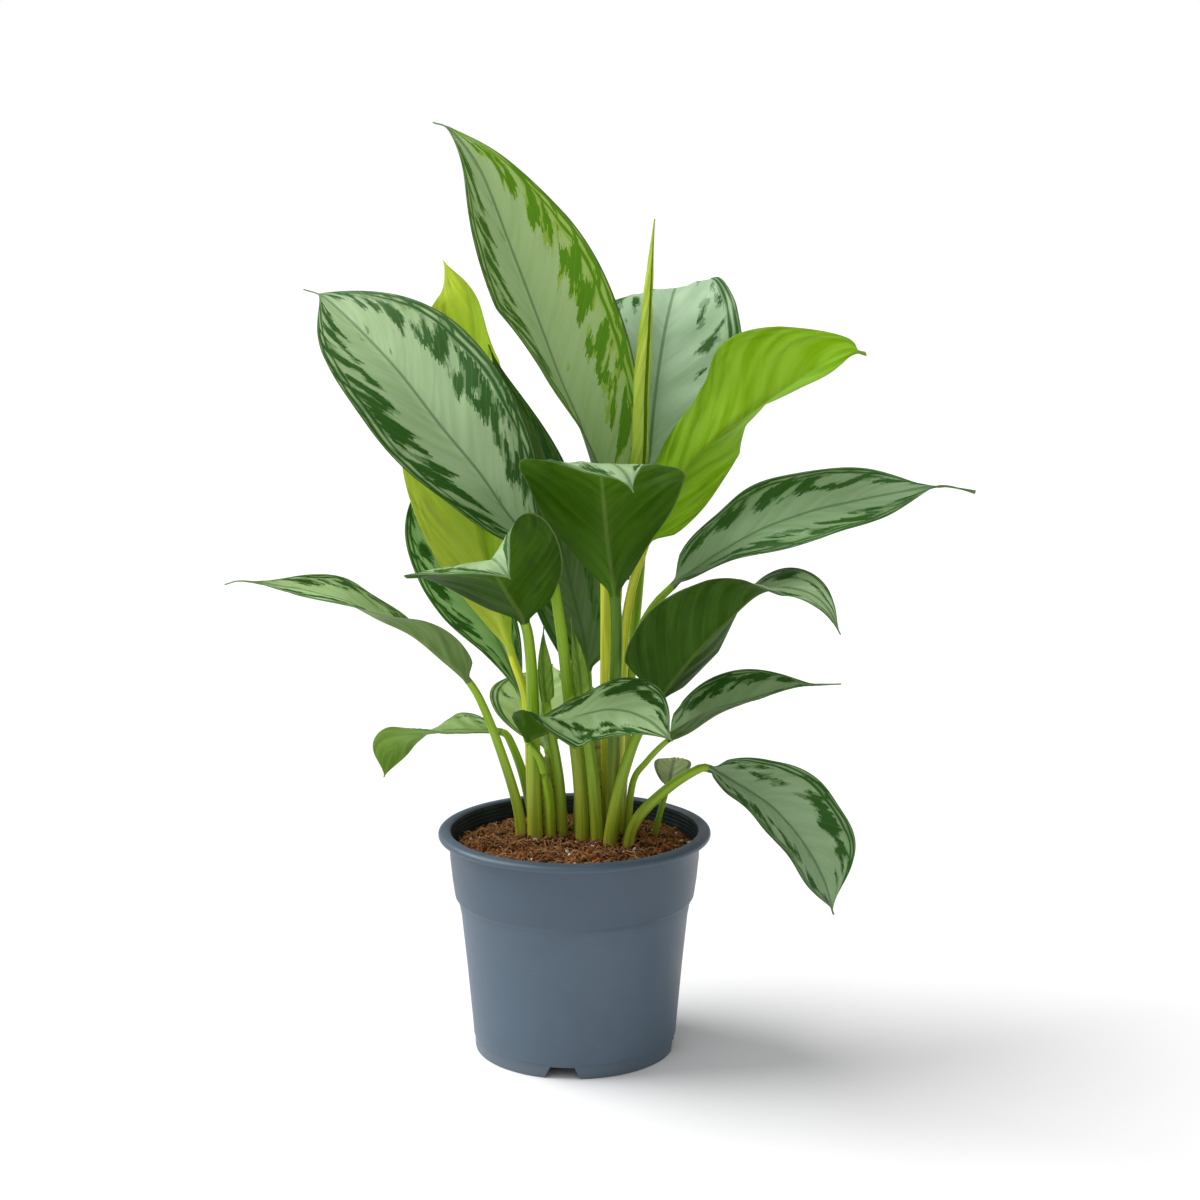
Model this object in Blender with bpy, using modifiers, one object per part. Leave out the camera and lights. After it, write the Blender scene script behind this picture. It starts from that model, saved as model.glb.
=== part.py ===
"""A potted Chinese evergreen (Aglaonema): a nursery pot, its soil, two short canes and the leaves.

Units are metres, +Z is up, and Z = 0 is the ground that the pot stands on. The front of the plant
faces -Y. The tables below are measured from the axis of the pot, and everything hangs from an empty
that puts this axis where the whole plant's box is centred over the world's origin. Every leaf is one
closed body, from the foot of its stalk to the tip of its blade, lofted from ring to ring along a
smooth path.
"""

import math
from collections import namedtuple

import bpy
import numpy as np

MM = 0.001
POT_AXIS = (-18.0, -13.5, 0.0)    # where the axis of the pot meets the ground, in millimetres

# ---- pot: profiles as (radius, height) in millimetres --------------------------------------------
POT_STEPS = 48
POT_OUTSIDE = (
    (78.5, 141.4), (80.6, 141.5), (83.0, 140.9), (84.6, 139.8), (85.0, 138.6), (84.8, 137.2),
    (84.0, 136.6), (79.2, 136.2), (78.2, 134.6), (77.8, 123.6), (76.4, 110.0), (75.0, 100.2),
    (74.3, 98.4), (72.7, 96.4), (71.0, 86.9), (67.8, 55.3), (64.3, 15.5), (63.8, 9.0),
    (63.2, 8.4), (62.9, 1.0), (62.3, 0.0),
)
POT_INSIDE = (
    (60.8, 0.0), (61.2, 8.0), (59.0, 8.6), (0.0, 8.6), (0.0, 10.6), (61.0, 10.6), (63.0, 16.5),
    (66.5, 55.3), (69.7, 86.9), (71.3, 95.8), (73.2, 98.6), (73.8, 101.5), (75.2, 110.0),
    (76.5, 123.6), (77.0, 136.0),
)
NOTCH_COUNT = 4
NOTCH_TURN = -6.5          # degrees, the turn of the first notch from the front
NOTCH_FOOT, NOTCH_TOP, NOTCH_HEIGHT = 23.0, 15.0, 7.4
NOTCH_RADII = (56.0, 68.0)
DRAIN_COUNT, DRAIN_RADIUS, DRAIN_CIRCLE = 6, 5.0, 38.0

# ---- soil, in millimetres ------------------------------------------------------------------------
SOIL_STEPS = 36
SOIL_PROFILE = (
    (0.0, 135.0), (20.0, 134.8), (40.0, 133.6), (58.0, 131.4), (70.0, 129.6), (76.2, 128.6),
    (76.0, 123.0), (74.7, 110.0), (73.3, 101.6), (72.6, 98.6), (70.8, 95.6), (69.2, 86.6),
    (66.0, 55.0), (62.5, 16.6), (60.5, 11.0), (0.0, 11.0),
)
PIT_HEIGHTS = (126.0, 132.0, 140.0)    # floor, bend and mouth of the pits that the stems stand in
PIT_GAP = 0.6
PIT_STEPS = 12
STEM_FOOT = 126.4          # height at which canes and stalks start

# ---- canes: foot and head (x, y, z) and the radii there, in millimetres ---------------------------
CANES = (
    ("cane_left", (-15.5, 6.5, STEM_FOOT), (-17.0, 7.0, 186.0), 5.0, 3.6),
    ("cane_right", (13.0, 6.5, STEM_FOOT), (13.0, 5.5, 200.0), 5.3, 3.4),
)
CANE_STEPS = 16

# ---- colours: (red, green, blue) and roughness ---------------------------------------------------
PLASTIC = ((0.095, 0.135, 0.180), 0.55)
SOIL = ((0.115, 0.048, 0.020), 0.95)
BARK = ((0.350, 0.330, 0.060), 0.60)
SILVER = ((0.300, 0.430, 0.190), 0.40)
GREEN = ((0.110, 0.240, 0.030), 0.45)
LIME = ((0.230, 0.380, 0.015), 0.45)
STALK = ((0.330, 0.430, 0.040), 0.50)

# ---- leaves, in millimetres and degrees ----------------------------------------------------------
STALK_RINGS = 6
BLADE_RINGS = (0.0, 0.03, 0.09, 0.17, 0.27, 0.38, 0.49, 0.6, 0.7, 0.79, 0.87, 0.94, 1.0)
ACROSS = (-1.0, -0.7, -0.36, 0.0, 0.36, 0.7, 1.0)
LAMINA = 0.9               # thickness of the blade
RIB = 2.0                  # depth of the midrib below the blade at its base
TIP_HALF = 0.6             # half the width of the very tip
PATH_STEPS = 24            # samples of the smooth path between two of its points

Leaf = namedtuple("Leaf", "name stalk rib facing width fold curl ripple tail radii shape tone")


def leaf(name, stalk, rib, facing, width, fold=(25, 12, 8), curl=(0, 0, 0), ripple=(0, 0, 0), tail=0.0,
         radii=(4.0, 2.6), shape=(0.42, 0.6, 0.85), tone=SILVER):
    """One leaf of the table.

    stalk and rib are points on the stalk and on the midrib, foot to tip. facing holds directions that
    the upper side of the blade turns to, evenly spaced from its base to its tip. fold is the angle at
    which each half rises from the midrib, and curl how much further it bends by its edge, at the base,
    the middle and the tip. A pair of such triples, or of widths, sets the left and the right half apart.
    ripple is (height, count, start) of the waves along the edge. tail is the share of the rib that is
    only the thin point at its end. radii are those of the stalk, foot and top. shape is where along its
    length the blade is widest, and how full it is towards its base and towards its tip. tone is its
    colour and roughness.
    """
    both_widths = width if isinstance(width, tuple) else (width, width)
    both_folds = fold if isinstance(fold[0], tuple) else (fold, fold)
    both_curls = curl if isinstance(curl[0], tuple) else (curl, curl)
    return Leaf(name, stalk, rib, facing, both_widths, both_folds, both_curls, ripple, tail, radii, shape,
                tone)


LEAVES = (
    leaf("leaf_top",
         stalk=((20, 14, STEM_FOOT), (20, 12, 222), (20, 10, 294)),
         rib=((18, 12, 340), (7, 18, 382), (-9, 24, 420), (-24, 34, 459),
              (-41, 42, 503), (-58, 50, 545), (-76, 56, 569), (-87, 58, 574)),
         facing=((0.6, -1.0, 0.0), (0.7, -1.0, 0.2), (0.7, -1.0, 0.2), (0.6, -1.0, 0.3)),
         width=98, fold=((75, 30, 20), (32, 35, 25)), tail=0.02, radii=(4.6, 4.0), shape=(0.42, 0.6, 0.7)),
    leaf("leaf_spear",
         stalk=((32, 13, 296), (35, 13, 320)),
         rib=((36, 12, 345), (36.5, 11, 364), (37.5, 10, 383),
              (38.5, 12, 419), (43, 18, 467), (49, 24, 516)),
         facing=((0.45, -0.9, 0.0), (0.45, -0.9, 0.0)),
         width=32, fold=(20, 20, 20), curl=(130, 130, 130), radii=(2.4, 3.6), shape=(0.2, 0.2, 0.6),
         tone=LIME),
    leaf("leaf_left_big",
         stalk=((5, -2, STEM_FOOT), (3.5, -3, 172), (-3, -3, 224), (-9, -3, 274)),
         rib=((-17, 2, 310), (-40, 1, 338), (-57, 2, 363), (-82, 12, 392),
              (-107, 32, 421), (-133, 58, 445), (-159, 86, 465), (-174, 98, 470)),
         facing=((0.4, -1.0, 0.3), (0.3, -1.0, 0.4), (0.3, -1.0, 0.5), (0.1, -1.0, 0.5)),
         width=98, fold=((28, 24, 20), (28, 22, 30)), tail=0.05, radii=(5.0, 3.0), shape=(0.46, 1.2, 0.55)),
    leaf("leaf_left_lime",
         stalk=((-26, 5.5, STEM_FOOT), (-27, 7, 169), (-30, 12, 219)),
         rib=((-39, 18, 247), (-48, 24, 281), (-57, 32, 318), (-63, 40, 361),
              (-63, 50, 404), (-63, 64, 440), (-69, 84, 467), (-85, 104, 488)),
         facing=((-0.4, 0.9, 0.0), (-0.6, 0.8, 0.0), (-0.7, 0.8, 0.4)),
         width=(90, 92), fold=((40, 30, 15), (40, 35, 15)), shape=(0.55, 1.1, 0.65), tone=LIME),
    leaf("leaf_left_back",
         stalk=((-16, 18, STEM_FOOT), (-22, 18.5, 167), (-31, 19.5, 200)),
         rib=((-33, 27, 217), (-47, 37, 250), (-67, 48, 280),
              (-81, 60, 311), (-88, 74, 340), (-90, 88, 368)),
         facing=((0.1, -1.0, 0.3), (0.0, -1.0, 0.3), (0.0, -1.0, 0.3)),
         width=(53, 58), fold=(30, 15, 10), shape=(0.6, 1.2, 0.8), tone=GREEN),
    leaf("leaf_left_curled",
         stalk=((-24.5, -4, STEM_FOOT), (-25, -4.5, 165), (-25.5, -6, 224), (-27, -9, 256)),
         rib=((-30, -12, 274), (-38, -24, 291), (-46, -44, 310),
              (-48, -66, 321), (-43, -86, 323), (-35, -96, 315)),
         facing=((0.1, 0.9, 0.4), (0.1, 0.5, 1.0), (0.0, 0.1, 1.0), (0.0, -0.3, 1.0)),
         width=(84, 106), fold=((15, 36, 72), (30, -8, -14)), radii=(5.0, 3.2), shape=(0.5, 0.5, 0.7)),
    leaf("leaf_front",
         stalk=((23.5, -4.5, STEM_FOOT), (24, -6, 161), (25, -11, 225), (26, -15, 263)),
         rib=((25, -16, 290), (21, -18, 319), (18, -24, 351), (17, -44, 370),
              (22, -68, 378), (30, -88, 375), (35, -98, 365)),
         facing=((0.0, 1.0, 0.2), (0.0, 1.0, 0.3), (0.0, 0.3, 1.0), (0.0, -0.1, 1.0), (0.0, -1.0, 0.6)),
         width=100, fold=((60, 3, -15), (60, 10, 0)), radii=(4.2, 3.4), shape=(0.5, 0.7, 0.85)),
    leaf("leaf_back_right",
         stalk=((28, 17, STEM_FOOT), (34, 26, 219), (41, 32, 299), (44, 34, 343)),
         rib=((46, 36, 361), (50, 48, 403), (55, 60, 437), (60, 72, 460),
              (64, 88, 471), (66, 106, 463), (68, 118, 447)),
         facing=((-0.2, -1.0, 0.1), (-0.1, -1.0, 0.3), (-0.2, -0.6, 1.0), (-0.3, 0.6, 1.0)),
         width=(98, 108), fold=((25, 20, 0), (20, 10, 0)), curl=((0, -20, -30), (0, 0, 0)),
         shape=(0.4, 0.6, 0.85)),
    leaf("leaf_right_lime",
         stalk=((26.5, 8.5, STEM_FOOT), (30, 10, 240), (34, 11, 283)),
         rib=((44, 10, 319), (52, 8, 339), (65, 2, 361), (76, -5, 376), (89, -10, 389),
              (115, -15, 409), (140, -17, 427), (162, -15, 439), (175, -10, 437)),
         facing=((0.1, 1.0, -0.1), (0.0, 1.0, 0.0), (-0.1, 1.0, 0.1),
                 (-0.45, 0.8, 0.45), (-0.45, 0.8, 0.45), (-0.3, 0.8, 0.45)),
         width=(74, 84), fold=((12, 52, 12), (55, 68, 0)), ripple=(2, 2.5, 0.3), tail=0.03,
         shape=(0.62, 0.5, 0.52), tone=LIME),
    leaf("leaf_right_long",
         stalk=((7, 19.5, STEM_FOOT), (15, 26, 190), (42, 18, 266)),
         rib=((61, 8, 293), (73, 4, 303), (89, -1, 315), (113, -8, 330), (143, -12, 342),
              (173, -12, 349), (203, -12, 355), (224, -10, 357), (243, -8, 353)),
         facing=((-0.3, -0.5, 0.9), (-0.2, -0.5, 0.9), (-0.1, -0.45, 0.9), (0.1, -0.5, 0.9)),
         width=(66, 60), fold=((18, 16, 10), (30, 0, -8)), ripple=(1.5, 3, 0.2), tail=0.11,
         shape=(0.42, 0.5, 0.62)),
    leaf("leaf_right_twisted",
         stalk=((21.5, -13, STEM_FOOT), (25.5, -14.5, 160), (35.5, -15, 196), (46, -14.5, 218)),
         rib=((51, -15, 226), (71, -20, 253), (92, -25, 277), (113, -30, 296),
              (135, -42, 299), (149, -56, 292), (157, -66, 277)),
         facing=((-0.5, 0.85, 0.3), (-0.4, 0.8, 0.4), (-0.3, 0.4, 0.9), (0.2, -0.5, 0.8), (0.5, -0.9, 0.3)),
         width=(64, 80), fold=((28, 25, -5), (28, 25, 10)), radii=(4.4, 3.0), shape=(0.3, 0.22, 0.75)),
    leaf("leaf_right_low",
         stalk=((33, 1.5, STEM_FOOT), (36, 1, 168), (45, -1.5, 184)),
         rib=((58, -4, 198), (71, -9, 206), (89, -15, 219),
              (113, -20, 229), (137, -25, 237), (162, -28, 239)),
         facing=((-0.3, -0.15, 0.9), (-0.2, -0.2, 1.0), (0.0, -0.3, 1.0)),
         width=52, fold=((38, 30, 20), (32, 24, 20)), radii=(3.0, 2.0), tail=0.12, shape=(0.36, 0.38, 0.8)),
    leaf("leaf_right_drooping",
         stalk=((33, -12, STEM_FOOT), (37.5, -13, 148), (55, -15, 168), (74, -18, 182)),
         rib=((83, -20, 184), (101, -30, 176), (120, -40, 165),
              (137, -48, 147), (150, -54, 125), (157, -54, 102)),
         facing=((0.5, -0.8, 0.6), (0.6, -0.8, 0.6), (0.8, -0.8, 0.3)),
         width=66, fold=(30, 28, 20), ripple=(1.5, 3, 0), shape=(0.56, 0.75, 0.72)),
    leaf("leaf_right_small",
         stalk=((50, 12, STEM_FOOT), (52, 12, 140), (57, 14, 158)),
         rib=((59, 14, 163), (61, 24, 170), (63, 40, 173), (64, 56, 172)),
         facing=((0.0, -0.6, 0.8), (0.0, -0.4, 1.0), (0.0, -0.2, 1.0)),
         width=24, fold=(20, 10, 5), radii=(2.4, 1.6)),
    leaf("leaf_front_low",
         stalk=((-15, -3, STEM_FOOT), (-15.5, -7, 160), (-20, -13, 186)),
         rib=((-28, -16, 201), (-18, -27, 209), (-2, -40, 220),
              (22, -58, 230), (42, -76, 229), (58, -91, 219)),
         facing=((-0.2, -0.25, 0.95), (-0.1, -0.43, 0.9), (0.1, -0.5, 0.9)),
         width=(68, 66), fold=((20, 0, 0, 0, 0), (72, 54, -6, -6, -4)), shape=(0.5, 0.36, 0.7)),
    leaf("leaf_left_long",
         stalk=((-33.5, 3.5, STEM_FOOT), (-35, 4.5, 150), (-43, 4, 180), (-55, 1, 215)),
         rib=((-65, -3, 235), (-81, -10, 252), (-98, -18, 268), (-117, -26, 279),
              (-137, -34, 291), (-163, -40, 299), (-195, -44, 305), (-207, -44, 303)),
         facing=((0.5, 0.6, 0.5), (0.4, 0.3, 0.9), (0.2, -0.1, 1.0), (0.1, -0.3, 0.9), (0.0, -0.3, 0.9)),
         width=56, fold=(30, 15, 10), tail=0.08),
    leaf("leaf_left_low",
         stalk=((-25, 17.5, STEM_FOOT), (-31, 16.5, 165), (-40, 15, 192)),
         rib=((-46, 14, 199), (-62, 14, 200), (-81, 18, 199),
              (-101, 24, 194), (-114, 26, 186), (-121, 24, 167)),
         facing=((0.0, -0.3, 1.0), (0.0, -0.1, 1.0), (-0.4, 0.5, 0.8), (-0.5, 0.8, 0.1)),
         width=50, fold=(20, 10, 5), shape=(0.6, 0.8, 0.8), tone=GREEN),
    leaf("leaf_back_pale",
         stalk=((-8.5, 14, STEM_FOOT), (-10, 15, 155), (-14.5, 17.5, 178)),
         rib=((-17, 20, 187), (-21, 50, 201), (-20, 90, 212), (-16, 125, 219)),
         facing=((0.0, -0.8, 0.7), (0.0, -0.5, 0.85), (0.0, -0.4, 1.0)),
         width=70, fold=(25, 10, 5)),
    leaf("leaf_back_dark",
         stalk=((2, 12, STEM_FOOT), (4, 14, 168), (8, 22, 218)),
         rib=((8, 30, 234), (6, 34, 254), (0, 40, 278), (-9, 48, 312),
              (-22, 56, 352), (-39, 66, 396), (-55, 80, 436)),
         facing=((0.0, -1.0, 0.1), (-0.5, -1.0, 0.2), (-0.7, -1.0, 0.3)),
         width=56, fold=(20, 20, 12), shape=(0.42, 0.35, 0.85), tone=GREEN),
    leaf("sheath_middle",
         stalk=((14.5, -6, STEM_FOOT), (12, -7, 170), (6.5, -6.5, 212)),
         rib=((5, -6, 224), (3, -5, 243), (0.5, -4, 259), (-2, -3.5, 275)),
         facing=((0.3, -1.0, 0.2), (0.3, -1.0, 0.2)),
         width=12, fold=(20, 20, 20), radii=(4.6, 3.0), shape=(0.2, 0.2, 1.0), tone=STALK),
    leaf("sheath_left",
         stalk=((-7.5, 2.5, STEM_FOOT), (-9.5, 1, 170), (-15.5, -1.5, 208)),
         rib=((-17.5, -2, 222), (-19, -2.5, 238), (-19.5, -2.5, 254), (-18.5, -3, 270)),
         facing=((0.3, -1.0, 0.2), (0.3, -1.0, 0.2)),
         width=(8, 12), fold=(20, 20, 20), radii=(3.6, 3.0), shape=(0.3, 0.1, 1.0), tone=STALK),
    leaf("sheath_top",
         stalk=((26.0, 9, 268), (27.5, 8.8, 284)),
         rib=((28, 7.5, 296), (28, 6.5, 312), (28, 5.5, 326), (28, 4.5, 340)),
         facing=((0.2, -1.0, 0.2), (0.2, -1.0, 0.2)),
         width=10, fold=(30, 30, 30), radii=(1.8, 1.8), shape=(0.3, 0.2, 1.0), tone=STALK),
)


# ---- helpers -------------------------------------------------------------------------------------
def new_collection(name):
    made = bpy.data.collections.new(name)
    bpy.context.scene.collection.children.link(made)
    return made


def material(name, tone):
    rgb, roughness = tone
    made = bpy.data.materials.new(name)
    made.use_nodes = True
    shader = made.node_tree.nodes["Principled BSDF"]
    shader.inputs["Base Color"].default_value = (*rgb, 1.0)
    shader.inputs["Roughness"].default_value = roughness
    return made


def mesh_object(name, points, faces, collection, slot=None):
    mesh = bpy.data.meshes.new(name)
    mesh.from_pydata([tuple(point) for point in points], [], faces)
    mesh.update()
    obj = bpy.data.objects.new(name, mesh)
    if slot is not None:
        mesh.materials.append(slot)
    collection.objects.link(obj)
    return obj


def turned(name, profile, steps, collection, slot):
    """A body of revolution: the profile, in millimetres, turned about Z."""
    points = [(radius * MM, 0.0, height * MM) for radius, height in profile]
    edges = [(i, (i + 1) % len(points)) for i in range(len(points))]
    if profile[0][0] == 0.0 and profile[-1][0] == 0.0:
        edges.pop()
    mesh = bpy.data.meshes.new(name)
    mesh.from_pydata(points, edges, [])
    obj = bpy.data.objects.new(name, mesh)
    mesh.materials.append(slot)
    collection.objects.link(obj)
    screw = obj.modifiers.new("turn", "SCREW")
    screw.steps = steps
    screw.render_steps = steps
    screw.use_merge_vertices = True
    screw.merge_threshold = 0.00005
    return obj


def cut(obj, cutter):
    boolean = obj.modifiers.new("cut_" + cutter.name, "BOOLEAN")
    boolean.operation = "DIFFERENCE"
    boolean.solver = "EXACT"
    boolean.object = cutter


def hidden_cutter(obj):
    obj.hide_render = True
    obj.display_type = "WIRE"
    return obj


def tube(name, centres, radii, steps, collection, slot=None):
    """A straight or bent round bar through centres, in millimetres, with level round ends."""
    points, faces = [], []
    for (x, y, z), radius in zip(centres, radii):
        for i in range(steps):
            turn = 2 * math.pi * i / steps
            points.append(((x + radius * math.cos(turn)) * MM, (y + radius * math.sin(turn)) * MM, z * MM))
    for ring in range(len(centres) - 1):
        for i in range(steps):
            a, b = ring * steps + i, ring * steps + (i + 1) % steps
            faces.append((a, b, b + steps, a + steps))
    faces.append(tuple(reversed(range(steps))))
    faces.append(tuple(range((len(centres) - 1) * steps, len(centres) * steps)))
    return mesh_object(name, points, faces, collection, slot)


# ---- pot -----------------------------------------------------------------------------------------
def notch_cutter(index, cutters):
    """A block that is wider at its foot, through the wall at the base of the pot."""
    turn = math.radians(NOTCH_TURN - 90.0 + index * 360.0 / NOTCH_COUNT)
    out = np.array((math.cos(turn), math.sin(turn), 0.0))
    side = np.array((-out[1], out[0], 0.0))
    points = []
    for radius in NOTCH_RADII:
        for half, height in ((NOTCH_FOOT / 2, -1.0), (NOTCH_TOP / 2, NOTCH_HEIGHT)):
            for way in (-1.0, 1.0):
                points.append((out * radius + side * way * half) * MM + np.array((0.0, 0.0, height * MM)))
    faces = [(0, 2, 3, 1), (4, 5, 7, 6), (0, 1, 5, 4), (2, 6, 7, 3), (0, 4, 6, 2), (1, 3, 7, 5)]
    return hidden_cutter(mesh_object(f"cut_notch_{index}", points, faces, cutters))


def drain_cutter(index, cutters):
    turn = 2 * math.pi * (index + 0.5) / DRAIN_COUNT
    x, y = DRAIN_CIRCLE * math.cos(turn), DRAIN_CIRCLE * math.sin(turn)
    radii = (DRAIN_RADIUS, DRAIN_RADIUS)
    return hidden_cutter(tube(f"cut_drain_{index}", ((x, y, 7.0), (x, y, 12.0)), radii, 12, cutters))


def build_pot(parts, cutters):
    slot = material("pot_plastic", PLASTIC)
    pot = turned("pot", POT_OUTSIDE + POT_INSIDE, POT_STEPS, parts, slot)
    for index in range(NOTCH_COUNT):
        cut(pot, notch_cutter(index, cutters))
    for index in range(DRAIN_COUNT):
        cut(pot, drain_cutter(index, cutters))


# ---- soil and canes ------------------------------------------------------------------------------
def build_soil(parts, cutters):
    slot = material("potting_soil", SOIL)
    soil = turned("soil", SOIL_PROFILE, SOIL_STEPS, parts, slot)
    stems = [(name, np.array((foot, head)), radius) for name, foot, head, radius, _ in CANES]
    stems += [(one.name, smooth_path(one.stalk)[:PATH_STEPS], one.radii[0]) for one in LEAVES
              if one.stalk[0][2] == STEM_FOOT]
    for name, path, radius in stems:
        x, y = (np.interp(PIT_HEIGHTS, path[:, 2], path[:, k]) for k in (0, 1))
        reach = (radius + PIT_GAP,) * len(PIT_HEIGHTS)
        pit = tube("cut_pit_" + name, tuple(zip(x, y, PIT_HEIGHTS)), reach, PIT_STEPS, cutters)
        cut(soil, hidden_cutter(pit))


def build_canes(parts):
    for name, foot, head, foot_radius, head_radius in CANES:
        lean = np.array(head) - np.array(foot)
        centres = [tuple(np.array(foot) + lean * share) for share in (0.0, 0.5, 0.94, 1.0)]
        middle = (foot_radius + head_radius) / 2
        radii = (foot_radius, middle, head_radius, head_radius * 0.5)
        tube(name, centres, radii, CANE_STEPS, parts, material(name + "_bark", BARK))


# ---- leaves --------------------------------------------------------------------------------------
def smooth_path(points):
    """The points joined by a smooth curve (Catmull-Rom) that starts upright, as an array of positions."""
    points = np.array(points, float)
    below = np.array((points[1][0], points[1][1], 2 * points[0][2] - points[1][2]))
    ends = np.vstack([below, points, 2 * points[-1] - points[-2]])
    path = []
    for i in range(1, len(ends) - 2):
        before, start, stop, after = ends[i - 1:i + 3]
        for u in np.arange(PATH_STEPS) / PATH_STEPS:
            path.append(0.5 * (2 * start + (stop - before) * u
                               + (2 * before - 5 * start + 4 * stop - after) * u ** 2
                               + (3 * start - before - 3 * stop + after) * u ** 3))
    path.append(points[-1])
    return np.array(path)


def unit(vector):
    return vector / np.linalg.norm(vector)


def at_share(values, share):
    """The value at a share from 0 to 1 of an evenly spaced list, between neighbours."""
    values = np.array(values, float)
    place = share * (len(values) - 1)
    low = min(int(place), len(values) - 2)
    return values[low] + (values[low + 1] - values[low]) * (place - low)


def outline(one, share):
    """Half the width of the blade at a share of its length, as a part of its greatest."""
    widest, base_power, tip_power = one.shape
    if share < widest:
        return (1.0 - ((widest - share) / widest) ** 2) ** base_power
    past = min(1.0, (share - widest) / (1.0 - one.tail - widest))
    return (0.5 * (1.0 + math.cos(math.pi * past ** 1.3))) ** tip_power


def blade_offset(one, side, across, share, half):
    """(sideways, up, tilt) of a point of the blade's middle surface, seen along the midrib."""
    fold = math.radians(at_share(one.fold[side], share))
    curl = math.radians(at_share(one.curl[side], share)) + 1e-4
    reach = abs(across)
    tilt = fold + curl * reach
    sideways = half / curl * (math.sin(tilt) - math.sin(fold))
    up = half / curl * (math.cos(fold) - math.cos(tilt))
    height, count, start = one.ripple
    wave = math.sin(2 * math.pi * (count * share + start + 0.37 * side))
    up += height * reach ** 2 * wave * min(1.0, 4 * share)
    return sideways, up, tilt


def ring_points(one, share, on_stalk):
    """The ring at a share of the stalk or of the blade, as (sideways, up) pairs: the upper side from
    left to right, then the lower side back."""
    foot, top = one.radii
    stalk_half = foot + (top - foot) * share if on_stalk else top * (1.0 - 0.6 * share)
    blade = 0.0 if on_stalk else min(1.0, share / 0.06)
    rib = RIB * (1.0 - share) ** 1.3 + 0.2
    places = [(across, 1.0) for across in ACROSS] + [(across, -1.0) for across in reversed(ACROSS[1:-1])]
    ring = []
    for across, face in places:
        side = 0 if across < 0 else 1
        way = -1.0 if across < 0 else 1.0
        angle = across * math.pi / 2
        round_x, round_y = stalk_half * math.sin(angle), face * 0.85 * stalk_half * math.cos(angle)
        if on_stalk:
            ring.append((round_x, round_y))
            continue
        half = max(stalk_half * (1.0 - share), one.width[side] / 2 * outline(one, share), TIP_HALF)
        sideways, up, tilt = blade_offset(one, side, across, share, half)
        thick = 0.0 if abs(across) == 1.0 else face * LAMINA / 2
        if face < 0 and across == 0.0:
            thick -= rib
        flat_x = way * (sideways - thick * math.sin(tilt) * (across != 0.0))
        flat_y = up + thick * (math.cos(tilt) if across != 0.0 else 1.0)
        ring.append((round_x + (flat_x - round_x) * blade, round_y + (flat_y - round_y) * blade))
    return ring


def leaf_frames(one):
    """(position, share, on_stalk, along, facing) for each ring, foot to tip."""
    path = smooth_path(one.stalk + one.rib)
    steps = np.linalg.norm(np.diff(path, axis=0), axis=1)
    length = np.concatenate([[0.0], np.cumsum(steps)])
    blade_start = length[len(one.stalk) * PATH_STEPS]
    tangents = np.gradient(path, length, axis=0)
    stalk_shares = [ring / STALK_RINGS for ring in range(STALK_RINGS)]
    stations = [(share, True, share * blade_start) for share in stalk_shares]
    stations += [(share, False, blade_start + share * (length[-1] - blade_start)) for share in BLADE_RINGS]
    for share, on_stalk, place in stations:
        position = np.array([np.interp(place, length, path[:, k]) for k in range(3)])
        along = unit(np.array([np.interp(place, length, tangents[:, k]) for k in range(3)]))
        facing = at_share(one.facing, 0.0 if on_stalk else share)
        facing = unit(facing - along * np.dot(facing, along))
        yield position, share, on_stalk, along, facing


def build_leaf(one, parts, slot):
    points = []
    for position, share, on_stalk, along, facing in leaf_frames(one):
        across = np.cross(along, facing)
        for sideways, up in ring_points(one, share, on_stalk):
            points.append((position + across * sideways + facing * up) * MM)
    around = 2 * len(ACROSS) - 2
    rings = len(points) // around
    outwards = [abs(across) for across in ACROSS + ACROSS[-2:0:-1]]
    faces = []
    for ring in range(rings - 1):
        for i in range(around):
            following = (i + 1) % around
            a, b = ring * around + i, ring * around + following
            if outwards[i] < outwards[following]:
                faces += [(a, b, b + around), (a, b + around, a + around)]
            else:
                faces += [(a, b, a + around), (b, b + around, a + around)]
    points.append(np.mean(points[:around], axis=0))
    points.append(np.mean(points[(rings - 1) * around:rings * around], axis=0))
    foot, tip = rings * around, rings * around + 1
    for i in range(around):
        following = (i + 1) % around
        faces.append((following, i, foot))
        faces.append(((rings - 1) * around + i, (rings - 1) * around + following, tip))
    mesh_object(one.name, points, faces, parts, slot)


def build_leaves(parts):
    for one in LEAVES:
        build_leaf(one, parts, material(one.name + "_tissue", one.tone))


def stand_on_axis(parts, cutters):
    """Hangs every part and cutter from one empty at the foot of the pot's axis."""
    axis = bpy.data.objects.new("pot_axis", None)
    axis.location = [value * MM for value in POT_AXIS]
    for obj in list(parts.objects) + list(cutters.objects):
        obj.parent = axis
    parts.objects.link(axis)


def main():
    for obj in list(bpy.data.objects):
        bpy.data.objects.remove(obj)
    parts = new_collection("potted_chinese_evergreen")
    cutters = new_collection("cutters")
    build_pot(parts, cutters)
    build_soil(parts, cutters)
    build_canes(parts)
    build_leaves(parts)
    stand_on_axis(parts, cutters)


main()
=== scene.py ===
"""The looks of a potted Chinese evergreen (Aglaonema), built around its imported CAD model.

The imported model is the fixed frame. Every leaf, cane, the soil and the pot get a finer mesh in the same
place, in metres, with its own procedural material. The leaf table repeats the CAD source's table, in
millimetres from the axis of the pot, and adds how each leaf is marked.
"""

import math
from collections import namedtuple

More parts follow.
